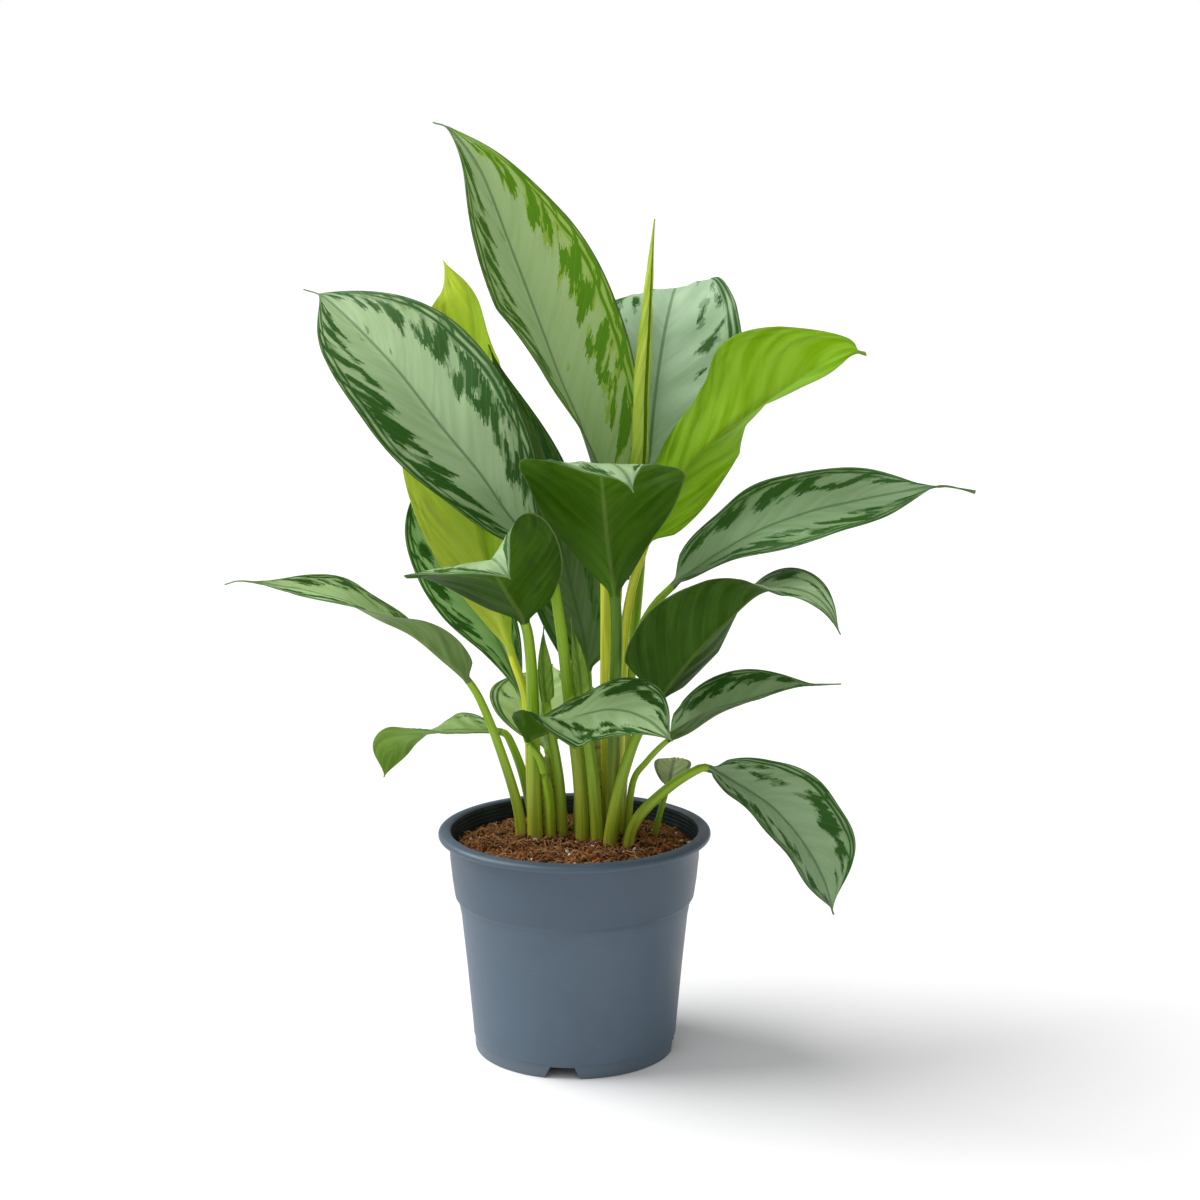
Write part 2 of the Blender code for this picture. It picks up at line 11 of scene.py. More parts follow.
import bmesh
import bpy
import numpy as np
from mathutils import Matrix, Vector


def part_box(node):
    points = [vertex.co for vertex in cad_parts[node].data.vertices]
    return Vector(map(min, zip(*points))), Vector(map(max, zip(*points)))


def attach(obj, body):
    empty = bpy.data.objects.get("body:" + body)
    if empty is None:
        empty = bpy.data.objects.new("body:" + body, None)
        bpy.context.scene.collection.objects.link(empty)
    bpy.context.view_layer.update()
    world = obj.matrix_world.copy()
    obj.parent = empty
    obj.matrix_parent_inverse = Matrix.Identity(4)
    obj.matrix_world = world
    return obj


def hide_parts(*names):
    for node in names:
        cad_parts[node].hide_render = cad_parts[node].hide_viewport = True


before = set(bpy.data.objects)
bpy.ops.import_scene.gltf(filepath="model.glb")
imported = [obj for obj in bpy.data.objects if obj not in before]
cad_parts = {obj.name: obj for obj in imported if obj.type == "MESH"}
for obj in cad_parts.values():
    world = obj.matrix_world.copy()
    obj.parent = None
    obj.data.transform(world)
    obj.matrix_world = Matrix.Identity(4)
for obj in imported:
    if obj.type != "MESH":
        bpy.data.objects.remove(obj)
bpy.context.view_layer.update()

MM = 0.001
DECIMETRE = 100.0          # in millimetres
POT_LOW, POT_HIGH = (np.array(corner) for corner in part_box("pot"))
AXIS = np.array(((POT_LOW[0] + POT_HIGH[0]) / 2, (POT_LOW[1] + POT_HIGH[1]) / 2, 0.0))

# ---- view and studio, in metres and degrees, measured from the axis of the pot
CAMERA_PLACE = (0.0159, -1.4085, 0.5431)
CAMERA_DOWN = 10.364
CAMERA_LENS, CAMERA_SENSOR = 70.0, 36.0
FLOOR_HALF = 30000.0       # in millimetres
KEY_FROM, KEY_SPREAD, KEY_POWER = (-1.0, 0.2, 1.1), 46.0, 3.4
FRONT_FROM, FRONT_SPREAD, FRONT_POWER = (-0.3, -1.0, 0.9), 60.0, 0.45
SKY, SKY_SEEN = 0.42, 1.0

# ---- pot: profiles as (radius, height) in millimetres
POT_STEPS = 192
POT_OUTSIDE = (
    (78.5, 141.4), (79.6, 141.5), (80.6, 141.5), (81.9, 141.3), (83.0, 140.9), (83.9, 140.5),
    (84.6, 139.8), (84.9, 139.2), (85.0, 138.6), (85.0, 137.8), (84.8, 137.2), (84.5, 136.8),
    (84.0, 136.6), (81.6, 136.5), (79.2, 136.2), (78.6, 135.6), (78.2, 134.6), (77.8, 123.6),
    (76.4, 110.0), (75.0, 100.2), (74.8, 99.2), (74.3, 98.4), (73.3, 97.2), (72.7, 96.4), (72.5, 95.2),
    (71.0, 86.9), (67.8, 55.3), (64.3, 15.5), (63.9, 9.6), (63.7, 8.9), (63.2, 8.4), (63.1, 7.6),
    (62.9, 1.0), (62.7, 0.3), (62.3, 0.0),
)
POT_INSIDE = (
    (60.8, 0.0), (60.5, 0.3), (61.2, 8.0), (59.0, 8.6), (0.0, 8.6), (0.0, 10.6), (61.0, 10.6),
    (63.0, 16.5), (66.5, 55.3), (69.7, 86.9), (71.3, 95.8), (73.2, 98.6), (73.8, 101.5), (75.2, 110.0),
    (76.5, 123.6), (77.0, 136.0), (77.2, 140.2), (77.7, 141.0),
)
RING_HEIGHTS = (125.5, 128.0, 130.5, 133.0, 135.5, 138.0)    # fine moulded rings inside the collar
RING_DEPTH = 0.25
COLLAR_SLOPE = 0.04        # how much the collar's inner wall widens for each millimetre of height
INSIDE_FROM, INSIDE_TO = 5, 3   # points of the inside profile before and after its stretch of damp wall, painted dark as shade inside the pot
NOTCH_COUNT, NOTCH_TURN = 4, -6.5
NOTCH_FOOT, NOTCH_TOP, NOTCH_HEIGHT = 23.0, 15.0, 7.4
NOTCH_RADII = (56.0, 68.0)
DRAIN_COUNT, DRAIN_RADIUS, DRAIN_CIRCLE = 6, 5.0, 38.0
DRAIN_STEPS, DRAIN_HEIGHTS = 24, (7.0, 12.0)
CREASE = 35.0              # degrees between faces that keep a sharp edge

# ---- soil, in millimetres
SOIL_TOP = ((0.0, 135.0), (20.0, 134.8), (40.0, 133.6), (58.0, 131.4), (70.0, 129.6), (76.0, 128.6))
SOIL_SIDE = ((76.0, 123.0), (74.7, 110.0), (73.3, 101.6), (72.6, 98.6), (70.8, 95.6), (69.2, 86.6),
             (66.0, 55.0), (62.5, 16.6), (60.5, 11.0))
SOIL_ROUND, SOIL_RINGS = 240, 76
SOIL_RADIUS, SOIL_SMOOTH_FROM = 76.0, 72.0
SOIL_ROUGH = 3.2           # height of the clods
CLOD_SEED, CLOD_TURNS = 7, 5
CLOD_WAVES = (0.09, 0.16, 0.27, 0.45, 0.8, 1.3, 2.1)    # radians for each millimetre

Grains = namedtuple("Grains", "name material dark pale count sizes flatness splits seed rough")

GRAINS_TO = 74.0
GRAINS = (
    Grains("soil_crumbs", "soil_crumbs", (0.034, 0.011, 0.004), (0.460, 0.175, 0.050),
           4200, (0.5, 1.6), (0.6, 1.0), 1, 21, 0.30),
    Grains("soil_chips", "bark_chips", (0.050, 0.018, 0.006), (0.340, 0.135, 0.045),
           180, (1.2, 2.8), (0.25, 0.5), 2, 22, 0.18),
    Grains("soil_perlite", "perlite", (0.62, 0.56, 0.48), (0.86, 0.84, 0.80),
           80, (0.5, 1.8), (0.5, 0.9), 2, 23, 0.12),
)
FIBRE_COUNT, FIBRE_SEED, FIBRE_RINGS, FIBRE_ROUND = 700, 41, 7, 4
FIBRES_FROM, FIBRES_TO = 70.0, 75.0
FIBRE_LENGTH, FIBRE_THICK = (4, 16), (0.12, 0.34)
FIBRE_BEND, FIBRE_LIFT = 1.6, 3.5       # most that one turns, in radians, and stands out of the soil
FIBRE_DARK, FIBRE_PALE = (0.20, 0.085, 0.030), (0.62, 0.360, 0.170)

# ---- canes: foot and head (x, y, z) and the radii there, in millimetres
STEM_FOOT = 126.4
CANE_RINGS, CANE_ROUND = 60, 40
CANE_INSET = 0.3           # the skin lies this far inside the stated radii, so that its leaf scars fit
SCAR_COUNT, SCAR_HEIGHT = 6.5, 0.35
CANES = (
    ("cane_left", (-15.5, 6.5, STEM_FOOT), (-17.0, 7.0, 186.0), 5.0, 3.6),
    ("cane_right", (13.0, 6.5, STEM_FOOT), (13.0, 5.5, 200.0), 5.3, 3.4),
)

# ---- colours
SILVER = (0.43, 0.61, 0.32)
COOL_SILVER = (0.46, 0.66, 0.44)
SILVER_HAZE, SILVER_SHADE, SILVER_EDGE = (0.50, 0.62, 0.42), (0.20, 0.33, 0.12), (0.25, 0.42, 0.10)
# the first is painted shade, the dark line of the groove along the midrib; the second is the leaf's own dark
# margin
RIB_GROOVE_SHADE, EDGE_LINE = (0.06, 0.14, 0.05), (0.12, 0.17, 0.06)
DARK = (0.034, 0.120, 0.015)
# painted backlight: the warm greens laid over a blade's halves, as if light shone through them from behind
BACKLIT_DARK, BACKLIT_HALO = (0.120, 0.320, 0.003), (0.50, 0.68, 0.10)
BACKLIT_SILVER, BACKLIT_EDGE = (0.44, 0.60, 0.17), (0.42, 0.62, 0.08)
UNDER = (0.040, 0.110, 0.003)
DEEP_UNDER = (0.030, 0.085, 0.004)
# painted backlight: a bright lime under side, as if lit through from behind
BACKLIT_LIME_UNDER = (0.300, 0.520, 0.004)
PALE_UNDER = (0.320, 0.430, 0.150)
# the first colour is painted highlight: the yellow-white that the paler clouds of an under side are pulled
# towards
UNDER_HIGHLIGHT, UNDER_VEIN = (1.0, 1.0, 0.60), (0.5, 0.7, 0.2)
UNDER_RIB, UNDER_EDGE = (0.45, 0.60, 0.16), (0.4, 0.5, 0.2)
LIGHT_IN_SILVER, LIGHT_IN_DARK = (0.40, 0.62, 0.08), (0.10, 0.30, 0.01)
LIGHT_IN_UNDER, LIGHT_IN_STALK = (0.70, 1.0, 0.03), (0.35, 0.55, 0.03)
GREEN_STALK = (0.340, 0.560, 0.025)
YELLOW_STALK = (0.900, 0.950, 0.060)
DEEP_STALK = (0.100, 0.220, 0.006)
STALK_SHADE, STALK_PALE = (0.02, 0.06, 0.0), (0.70, 0.78, 0.20)
STALK_FOOT, FOOT_BROWN = (0.560, 0.540, 0.040), (0.300, 0.160, 0.030)
STALK_SCAR = 0.18          # decimetres of brown at the foot of a stalk

CANE_PALE, CANE_GREEN = (0.42, 0.44, 0.07), (0.24, 0.33, 0.04)
CANE_SCAR, CANE_FOOT = (0.20, 0.11, 0.03), (0.24, 0.10, 0.03)
PLASTIC, PLASTIC_PALE = (0.056, 0.093, 0.136), (0.068, 0.108, 0.153)
# the middle colour is painted shade laid over the collar up to the rim; the scuffs and the dust are the
# pot's own
PLASTIC_SCUFF, PLASTIC_COLLAR_SHADE, PLASTIC_DUST = (0.17, 0.23, 0.28), (0.030, 0.054, 0.084), (0.15, 0.16, 0.16)
# the inside wall: partly damp plastic, partly painted shade, much darker than the outside
INSIDE_DARK, INSIDE_PALE = (0.014, 0.026, 0.030), (0.034, 0.050, 0.050)
SOIL_DARK, SOIL_BROWN, SOIL_DUST = (0.016, 0.006, 0.003), (0.130, 0.045, 0.012), (0.30, 0.125, 0.040)
GRAIN_DUST = (0.6, 0.5, 0.4)
FLOOR_GREY, FLOOR_PALE = (0.90, 0.90, 0.90), (0.92, 0.92, 0.92)

# ---- leaves, in millimetres and degrees
STALK_RINGS = 26
BLADE_RINGS = 92
HALF_PLACES = 13           # points across each half of the upper side
LAMINA = 0.5               # thickness of a blade
RIB, GROOVE = 2.0, 0.35    # how far the midrib stands out below, and how deep it lies above
STALK_FLAT = 0.85          # thickness of a stalk as a share of its width
TIP_HALF = 0.4             # half the width at the very tip
UPPER, LOWER, STALK = 0, 1, 2   # places of a leaf's three materials
LEAST_CURL = 1e-4          # radians, so that a flat half has a very long radius of bend
PATH_STEPS = 24
PUCKERS = ((0.24, 14.0, 0.0, 1), (0.62, 6.3, 0.0, 2), (0.55, 2.7, 0.8, 3))  # height, count, slant, shift
VEIN_REACH = (0.24, 0.020)  # how far a side vein runs towards the tip: straight part, part near the edge
EDGE_HUG = 0.970           # how close to the edge the side veins turn along it
BANDS = 80.0               # steps of a blotch's ragged outline in each decimetre of blade
TEETH = 22.0               # steps of that outline across each half of the blade
TOOTH = 0.055              # how far neighbouring steps differ, as a share of the half's width
VEIN_BANDS = 7.0           # steps from one pale vein line to the next
STRIPE = 0.085             # distance between the stripes along the edge, as the same share
STRIPES_FROM = 0.80        # and where they start
BLOTCH_RATES = (8.0, 3.6)  # how fast the blotches change along a blade, for each decimetre, and across it
BLOTCH_CONTRAST = (1.5, -0.285)
ALL_DARK = 1.06            # the cover that turns a whole blade dark
RIB_CLEAR = (0.30, 0.56, -0.40, 0.0)    # where blotches start and are whole, and their odds at those places
EDGE_CLEAR = (0.74, 0.90, 0.0, -0.15)
BASE_CLEAR = (0.0, 0.18, -0.12, 0.0)

Leaf = namedtuple("Leaf", "name stalk rib facing width fold curl ripple tail radii shape "
                          "seed cover silver under glow stalk_colour through slot")


# glow is painted backlight: it paints the halves of a blade in the warm green of light shining through from
# behind
def leaf(name, stalk, rib, facing, width, fold=(25, 12, 8), curl=(0, 0, 0), ripple=(0, 0, 0), tail=0.0,
         radii=(4.0, 2.6), shape=(0.42, 0.6, 0.85), seed=0, cover=0.0, silver=SILVER, under=UNDER,
         glow=(0.0, 0.0), stalk_colour=GREEN_STALK, through=0.25, slot="leaf_silver"):
    """One leaf of the table.

    stalk and rib are points on the stalk and on the midrib, foot to tip. facing holds directions that
    the upper side of the blade turns to, evenly spaced from its base to its tip. So are the angles of
    fold, at which each half rises from the midrib, and of curl, by which it bends further to its edge.
    A pair of such rows, or of widths, sets the left and the right half apart.
    ripple is (height, count, start) of the waves along the edge. tail is the share of the rib that is
    only the thin point at its end. radii are those of the stalk, foot and top. shape is where along its
    length the blade is widest, and how full it is towards its base and towards its tip.

    seed picks the pattern and cover is how much of the blade is dark. silver and under colour its two
    sides, glow is how far the left and the right half turn to the warm green of a blade with light behind
    it, and through is how much light passes. slot, the record's finish that the leaf stands for, is not
    used.
    """
    both_widths = width if isinstance(width, tuple) else (width, width)
    both_folds = fold if isinstance(fold[0], tuple) else (fold, fold)
    both_curls = curl if isinstance(curl[0], tuple) else (curl, curl)
    return Leaf(name, stalk, rib, facing, both_widths, both_folds, both_curls, ripple, tail, radii, shape,
                seed, cover, silver, under, glow, stalk_colour, through, slot)


LEAVES = (
    leaf("leaf_top",
         stalk=((20, 14, STEM_FOOT), (20, 12, 222), (20, 10, 294)),
         rib=((18, 12, 340), (7, 18, 382), (-9, 24, 420), (-24, 34, 459),
              (-41, 42, 503), (-58, 50, 545), (-76, 56, 569), (-87, 58, 574)),
         facing=((0.6, -1.0, 0.0), (0.7, -1.0, 0.2), (0.7, -1.0, 0.2), (0.6, -1.0, 0.3)),
         width=98, fold=((75, 30, 20), (32, 35, 25)), tail=0.02, radii=(4.6, 4.0), shape=(0.42, 0.6, 0.7),
         seed=3, cover=0.61, silver=(0.52, 0.74, 0.37), glow=(0.30, 0.95), stalk_colour=YELLOW_STALK),
    leaf("leaf_spear",
         stalk=((32, 13, 296), (35, 13, 320)),
         rib=((36, 12, 345), (36.5, 11, 364), (37.5, 10, 383),
              (38.5, 12, 419), (43, 18, 467), (49, 24, 516)),
         facing=((0.45, -0.9, 0.0), (0.45, -0.9, 0.0)),
         width=32, fold=(20, 20, 20), curl=(130, 130, 130), radii=(2.4, 3.6), shape=(0.2, 0.2, 0.6),
         seed=5, silver=(0.56, 0.72, 0.08), under=(0.60, 0.74, 0.08), through=0.4, slot="leaf_lime"),
    leaf("leaf_left_big",
         stalk=((5, -2, STEM_FOOT), (3.5, -3, 172), (-3, -3, 224), (-9, -3, 274)),
         rib=((-17, 2, 310), (-40, 1, 338), (-57, 2, 363), (-82, 12, 392),
              (-107, 32, 421), (-133, 58, 445), (-159, 86, 465), (-174, 98, 470)),
         facing=((0.4, -1.0, 0.3), (0.3, -1.0, 0.4), (0.3, -1.0, 0.5), (0.1, -1.0, 0.5)),
         width=98, fold=((28, 24, 20), (28, 22, 30)), tail=0.05, radii=(5.0, 3.0), shape=(0.46, 1.2, 0.55),
         seed=8, cover=0.62, silver=(0.44, 0.62, 0.33)),
    leaf("leaf_left_lime",
         stalk=((-26, 5.5, STEM_FOOT), (-27, 7, 169), (-30, 12, 219)),
         rib=((-39, 18, 247), (-48, 24, 281), (-57, 32, 318), (-63, 40, 361),
              (-63, 50, 404), (-63, 64, 440), (-69, 84, 467), (-85, 104, 488)),
         facing=((-0.4, 0.9, 0.0), (-0.6, 0.8, 0.0), (-0.7, 0.8, 0.4)),
         width=(90, 92), fold=((40, 30, 15), (40, 35, 15)), shape=(0.55, 1.1, 0.65),
         # painted backlight: this under side is painted the brightest lime, as if lit through from behind
         seed=11, cover=0.45, under=(1.0, 1.0, 0.100), glow=(0.8, 0.8), stalk_colour=YELLOW_STALK,
         through=0.6, slot="leaf_lime"),
    leaf("leaf_left_back",
         stalk=((-16, 18, STEM_FOOT), (-22, 18.5, 167), (-31, 19.5, 200)),
         rib=((-33, 27, 217), (-47, 37, 250), (-67, 48, 280),
              (-81, 60, 311), (-88, 74, 340), (-90, 88, 368)),
         facing=((0.1, -1.0, 0.3), (0.0, -1.0, 0.3), (0.0, -1.0, 0.3)),
         width=(53, 58), fold=(30, 15, 10), shape=(0.6, 1.2, 0.8),
         seed=14, cover=0.60, silver=(0.38, 0.67, 0.24), slot="leaf_green"),
    leaf("leaf_left_curled",
         stalk=((-24.5, -4, STEM_FOOT), (-25, -4.5, 165), (-25.5, -6, 224), (-27, -9, 256)),
         rib=((-30, -12, 274), (-38, -24, 291), (-46, -44, 310),
              (-48, -66, 321), (-43, -86, 323), (-35, -96, 315)),
         facing=((0.1, 0.9, 0.4), (0.1, 0.5, 1.0), (0.0, 0.1, 1.0), (0.0, -0.3, 1.0)),
         width=(84, 106), fold=((15, 36, 72), (30, -8, -14)), radii=(5.0, 3.2), shape=(0.5, 0.5, 0.7),
         seed=17, cover=0.58, under=(0.028, 0.080, 0.002)),
    leaf("leaf_front",
         stalk=((23.5, -4.5, STEM_FOOT), (24, -6, 161), (25, -11, 225), (26, -15, 263)),
         rib=((25, -16, 290), (21, -18, 319), (18, -24, 351), (17, -44, 370),
              (22, -68, 378), (30, -88, 375), (35, -98, 365)),
         facing=((0.0, 1.0, 0.2), (0.0, 1.0, 0.3), (0.0, 0.3, 1.0), (0.0, -0.1, 1.0), (0.0, -1.0, 0.6)),
         width=100, fold=((60, 3, -15), (60, 10, 0)), radii=(4.2, 3.4), shape=(0.5, 0.7, 0.85),
         seed=20, cover=0.57, under=(0.045, 0.130, 0.002), stalk_colour=DEEP_STALK),
    leaf("leaf_back_right",
         stalk=((28, 17, STEM_FOOT), (34, 26, 219), (41, 32, 299), (44, 34, 343)),
         rib=((46, 36, 361), (50, 48, 403), (55, 60, 437), (60, 72, 460),
              (64, 88, 471), (66, 106, 463), (68, 118, 447)),
         facing=((-0.2, -1.0, 0.1), (-0.1, -1.0, 0.3), (-0.2, -0.6, 1.0), (-0.3, 0.6, 1.0)),
         width=(98, 108), fold=((25, 20, 0), (20, 10, 0)), curl=((0, -20, -30), (0, 0, 0)),
         shape=(0.4, 0.6, 0.85),
         seed=23, cover=0.47, silver=COOL_SILVER),
    leaf("leaf_right_lime",
         stalk=((26.5, 8.5, STEM_FOOT), (30, 10, 240), (34, 11, 283)),
         rib=((44, 10, 319), (52, 8, 339), (65, 2, 361), (76, -5, 376), (89, -10, 389),
              (115, -15, 409), (140, -17, 427), (162, -15, 439), (175, -10, 437)),
         facing=((0.1, 1.0, -0.1), (0.0, 1.0, 0.0), (-0.1, 1.0, 0.1),
                 (-0.45, 0.8, 0.45), (-0.45, 0.8, 0.45), (-0.3, 0.8, 0.45)),
         width=(74, 84), fold=((12, 52, 12), (55, 68, 0)), ripple=(2, 2.5, 0.3), tail=0.03,
         shape=(0.62, 0.5, 0.52),
         seed=26, cover=0.45, under=BACKLIT_LIME_UNDER, glow=(0.7, 0.7), stalk_colour=YELLOW_STALK, through=0.5,
         slot="leaf_lime"),
    leaf("leaf_right_long",
         stalk=((7, 19.5, STEM_FOOT), (15, 26, 190), (42, 18, 266)),
         rib=((61, 8, 293), (73, 4, 303), (89, -1, 315), (113, -8, 330), (143, -12, 342),
              (173, -12, 349), (203, -12, 355), (224, -10, 357), (243, -8, 353)),
         facing=((-0.3, -0.5, 0.9), (-0.2, -0.5, 0.9), (-0.1, -0.45, 0.9), (0.1, -0.5, 0.9)),
         width=(66, 60), fold=((18, 16, 10), (30, 0, -8)), ripple=(1.5, 3, 0.2), tail=0.11,
         shape=(0.42, 0.5, 0.62),
         seed=29, cover=0.59, silver=(0.29, 0.44, 0.24)),
    leaf("leaf_right_twisted",
         stalk=((21.5, -13, STEM_FOOT), (25.5, -14.5, 160), (35.5, -15, 196), (46, -14.5, 218)),
         rib=((51, -15, 226), (71, -20, 253), (92, -25, 277), (113, -30, 296),
              (135, -42, 299), (149, -56, 292), (157, -66, 277)),
         facing=((-0.5, 0.85, 0.3), (-0.4, 0.8, 0.4), (-0.3, 0.4, 0.9), (0.2, -0.5, 0.8), (0.5, -0.9, 0.3)),
         width=(64, 80), fold=((28, 25, -5), (28, 25, 10)), radii=(4.4, 3.0), shape=(0.3, 0.22, 0.75),
         seed=32, cover=0.57, under=DEEP_UNDER),
    leaf("leaf_right_low",
         stalk=((33, 1.5, STEM_FOOT), (36, 1, 168), (45, -1.5, 184)),
         rib=((58, -4, 198), (71, -9, 206), (89, -15, 219),
              (113, -20, 229), (137, -25, 237), (162, -28, 239)),
         facing=((-0.3, -0.15, 0.9), (-0.2, -0.2, 1.0), (0.0, -0.3, 1.0)),
         width=52, fold=((38, 30, 20), (32, 24, 20)), radii=(3.0, 2.0), tail=0.12, shape=(0.36, 0.38, 0.8),
         seed=35, cover=0.59, silver=(0.34, 0.52, 0.25)),
    leaf("leaf_right_drooping",
         stalk=((33, -12, STEM_FOOT), (37.5, -13, 148), (55, -15, 168), (74, -18, 182)),
         rib=((83, -20, 184), (101, -30, 176), (120, -40, 165),
              (137, -48, 147), (150, -54, 125), (157, -54, 102)),
         facing=((0.5, -0.8, 0.6), (0.6, -0.8, 0.6), (0.8, -0.8, 0.3)),
         width=66, fold=(30, 28, 20), ripple=(1.5, 3, 0), shape=(0.56, 0.75, 0.72),
         seed=38, cover=0.57, silver=(0.36, 0.53, 0.30)),
    leaf("leaf_right_small",
         stalk=((50, 12, STEM_FOOT), (52, 12, 140), (57, 14, 158)),
         rib=((59, 14, 163), (61, 24, 170), (63, 40, 173), (64, 56, 172)),
         facing=((0.0, -0.6, 0.8), (0.0, -0.4, 1.0), (0.0, -0.2, 1.0)),
         width=24, fold=(20, 10, 5), radii=(2.4, 1.6),
         seed=41, silver=(0.44, 0.50, 0.22), under=PALE_UNDER),
    leaf("leaf_front_low",
         stalk=((-15, -3, STEM_FOOT), (-15.5, -7, 160), (-20, -13, 186)),
         rib=((-28, -16, 201), (-18, -27, 209), (-2, -40, 220),
              (22, -58, 230), (42, -76, 229), (58, -91, 219)),
         facing=((-0.2, -0.25, 0.95), (-0.1, -0.43, 0.9), (0.1, -0.5, 0.9)),
         width=(68, 66), fold=((20, 0, 0, 0, 0), (72, 54, -6, -6, -4)), shape=(0.5, 0.36, 0.7),
         seed=44, cover=0.61, silver=(0.57, 0.83, 0.40)),
    leaf("leaf_left_long",
         stalk=((-33.5, 3.5, STEM_FOOT), (-35, 4.5, 150), (-43, 4, 180), (-55, 1, 215)),
         rib=((-65, -3, 235), (-81, -10, 252), (-98, -18, 268), (-117, -26, 279),
              (-137, -34, 291), (-163, -40, 299), (-195, -44, 305), (-207, -44, 303)),
         facing=((0.5, 0.6, 0.5), (0.4, 0.3, 0.9), (0.2, -0.1, 1.0), (0.1, -0.3, 0.9), (0.0, -0.3, 0.9)),
         width=56, fold=(30, 15, 10), tail=0.08,
         seed=47, cover=0.57, silver=(0.58, 0.83, 0.36), under=(0.140, 0.220, 0.070)),
    leaf("leaf_left_low",
         stalk=((-25, 17.5, STEM_FOOT), (-31, 16.5, 165), (-40, 15, 192)),
         rib=((-46, 14, 199), (-62, 14, 200), (-81, 18, 199),
              (-101, 24, 194), (-114, 26, 186), (-121, 24, 167)),
         facing=((0.0, -0.3, 1.0), (0.0, -0.1, 1.0), (-0.4, 0.5, 0.8), (-0.5, 0.8, 0.1)),
         width=50, fold=(20, 10, 5), shape=(0.6, 0.8, 0.8),
         seed=50, cover=0.40, silver=(0.24, 0.38, 0.09), under=(0.20, 0.36, 0.05), slot="leaf_green"),
    leaf("leaf_back_pale",
         stalk=((-8.5, 14, STEM_FOOT), (-10, 15, 155), (-14.5, 17.5, 178)),
         rib=((-17, 20, 187), (-21, 50, 201), (-20, 90, 212), (-16, 125, 219)),
         facing=((0.0, -0.8, 0.7), (0.0, -0.5, 0.85), (0.0, -0.4, 1.0)),
         width=70, fold=(25, 10, 5),
         seed=53, cover=0.42, silver=(0.46, 0.63, 0.21), under=PALE_UNDER),
    leaf("leaf_back_dark",
         stalk=((2, 12, STEM_FOOT), (4, 14, 168), (8, 22, 218)),
         rib=((8, 30, 234), (6, 34, 254), (0, 40, 278), (-9, 48, 312),
              (-22, 56, 352), (-39, 66, 396), (-55, 80, 436)),
         facing=((0.0, -1.0, 0.1), (-0.5, -1.0, 0.2), (-0.7, -1.0, 0.3)),
         width=56, fold=(20, 20, 12), shape=(0.42, 0.35, 0.85),
         # painted shade: this leaf's silver is painted nearly black-green, for a leaf in deep shade inside
         # the plant
         seed=56, cover=0.56, silver=(0.055, 0.120, 0.035), slot="leaf_green"),
    leaf("sheath_middle",
         stalk=((14.5, -6, STEM_FOOT), (12, -7, 170), (6.5, -6.5, 212)),
         rib=((5, -6, 224), (3, -5, 243), (0.5, -4, 259), (-2, -3.5, 275)),
         facing=((0.3, -1.0, 0.2), (0.3, -1.0, 0.2)),
         width=12, fold=(20, 20, 20), radii=(4.6, 3.0), shape=(0.2, 0.2, 1.0),
         seed=59, silver=GREEN_STALK, under=GREEN_STALK, slot="stalk_green"),
    leaf("sheath_left",
         stalk=((-7.5, 2.5, STEM_FOOT), (-9.5, 1, 170), (-15.5, -1.5, 208)),
         rib=((-17.5, -2, 222), (-19, -2.5, 238), (-19.5, -2.5, 254), (-18.5, -3, 270)),
         facing=((0.3, -1.0, 0.2), (0.3, -1.0, 0.2)),
         width=(8, 12), fold=(20, 20, 20), radii=(3.6, 3.0), shape=(0.3, 0.1, 1.0),
         seed=62, silver=GREEN_STALK, under=GREEN_STALK, slot="stalk_green"),
    leaf("sheath_top",
         stalk=((26.0, 9, 268), (27.5, 8.8, 284)),
         rib=((28, 7.5, 296), (28, 6.5, 312), (28, 5.5, 326), (28, 4.5, 340)),
         facing=((0.2, -1.0, 0.2), (0.2, -1.0, 0.2)),
         width=10, fold=(30, 30, 30), radii=(1.8, 1.8), shape=(0.3, 0.2, 1.0),
         seed=65, silver=YELLOW_STALK, under=YELLOW_STALK, stalk_colour=YELLOW_STALK, slot="stalk_green"),
)


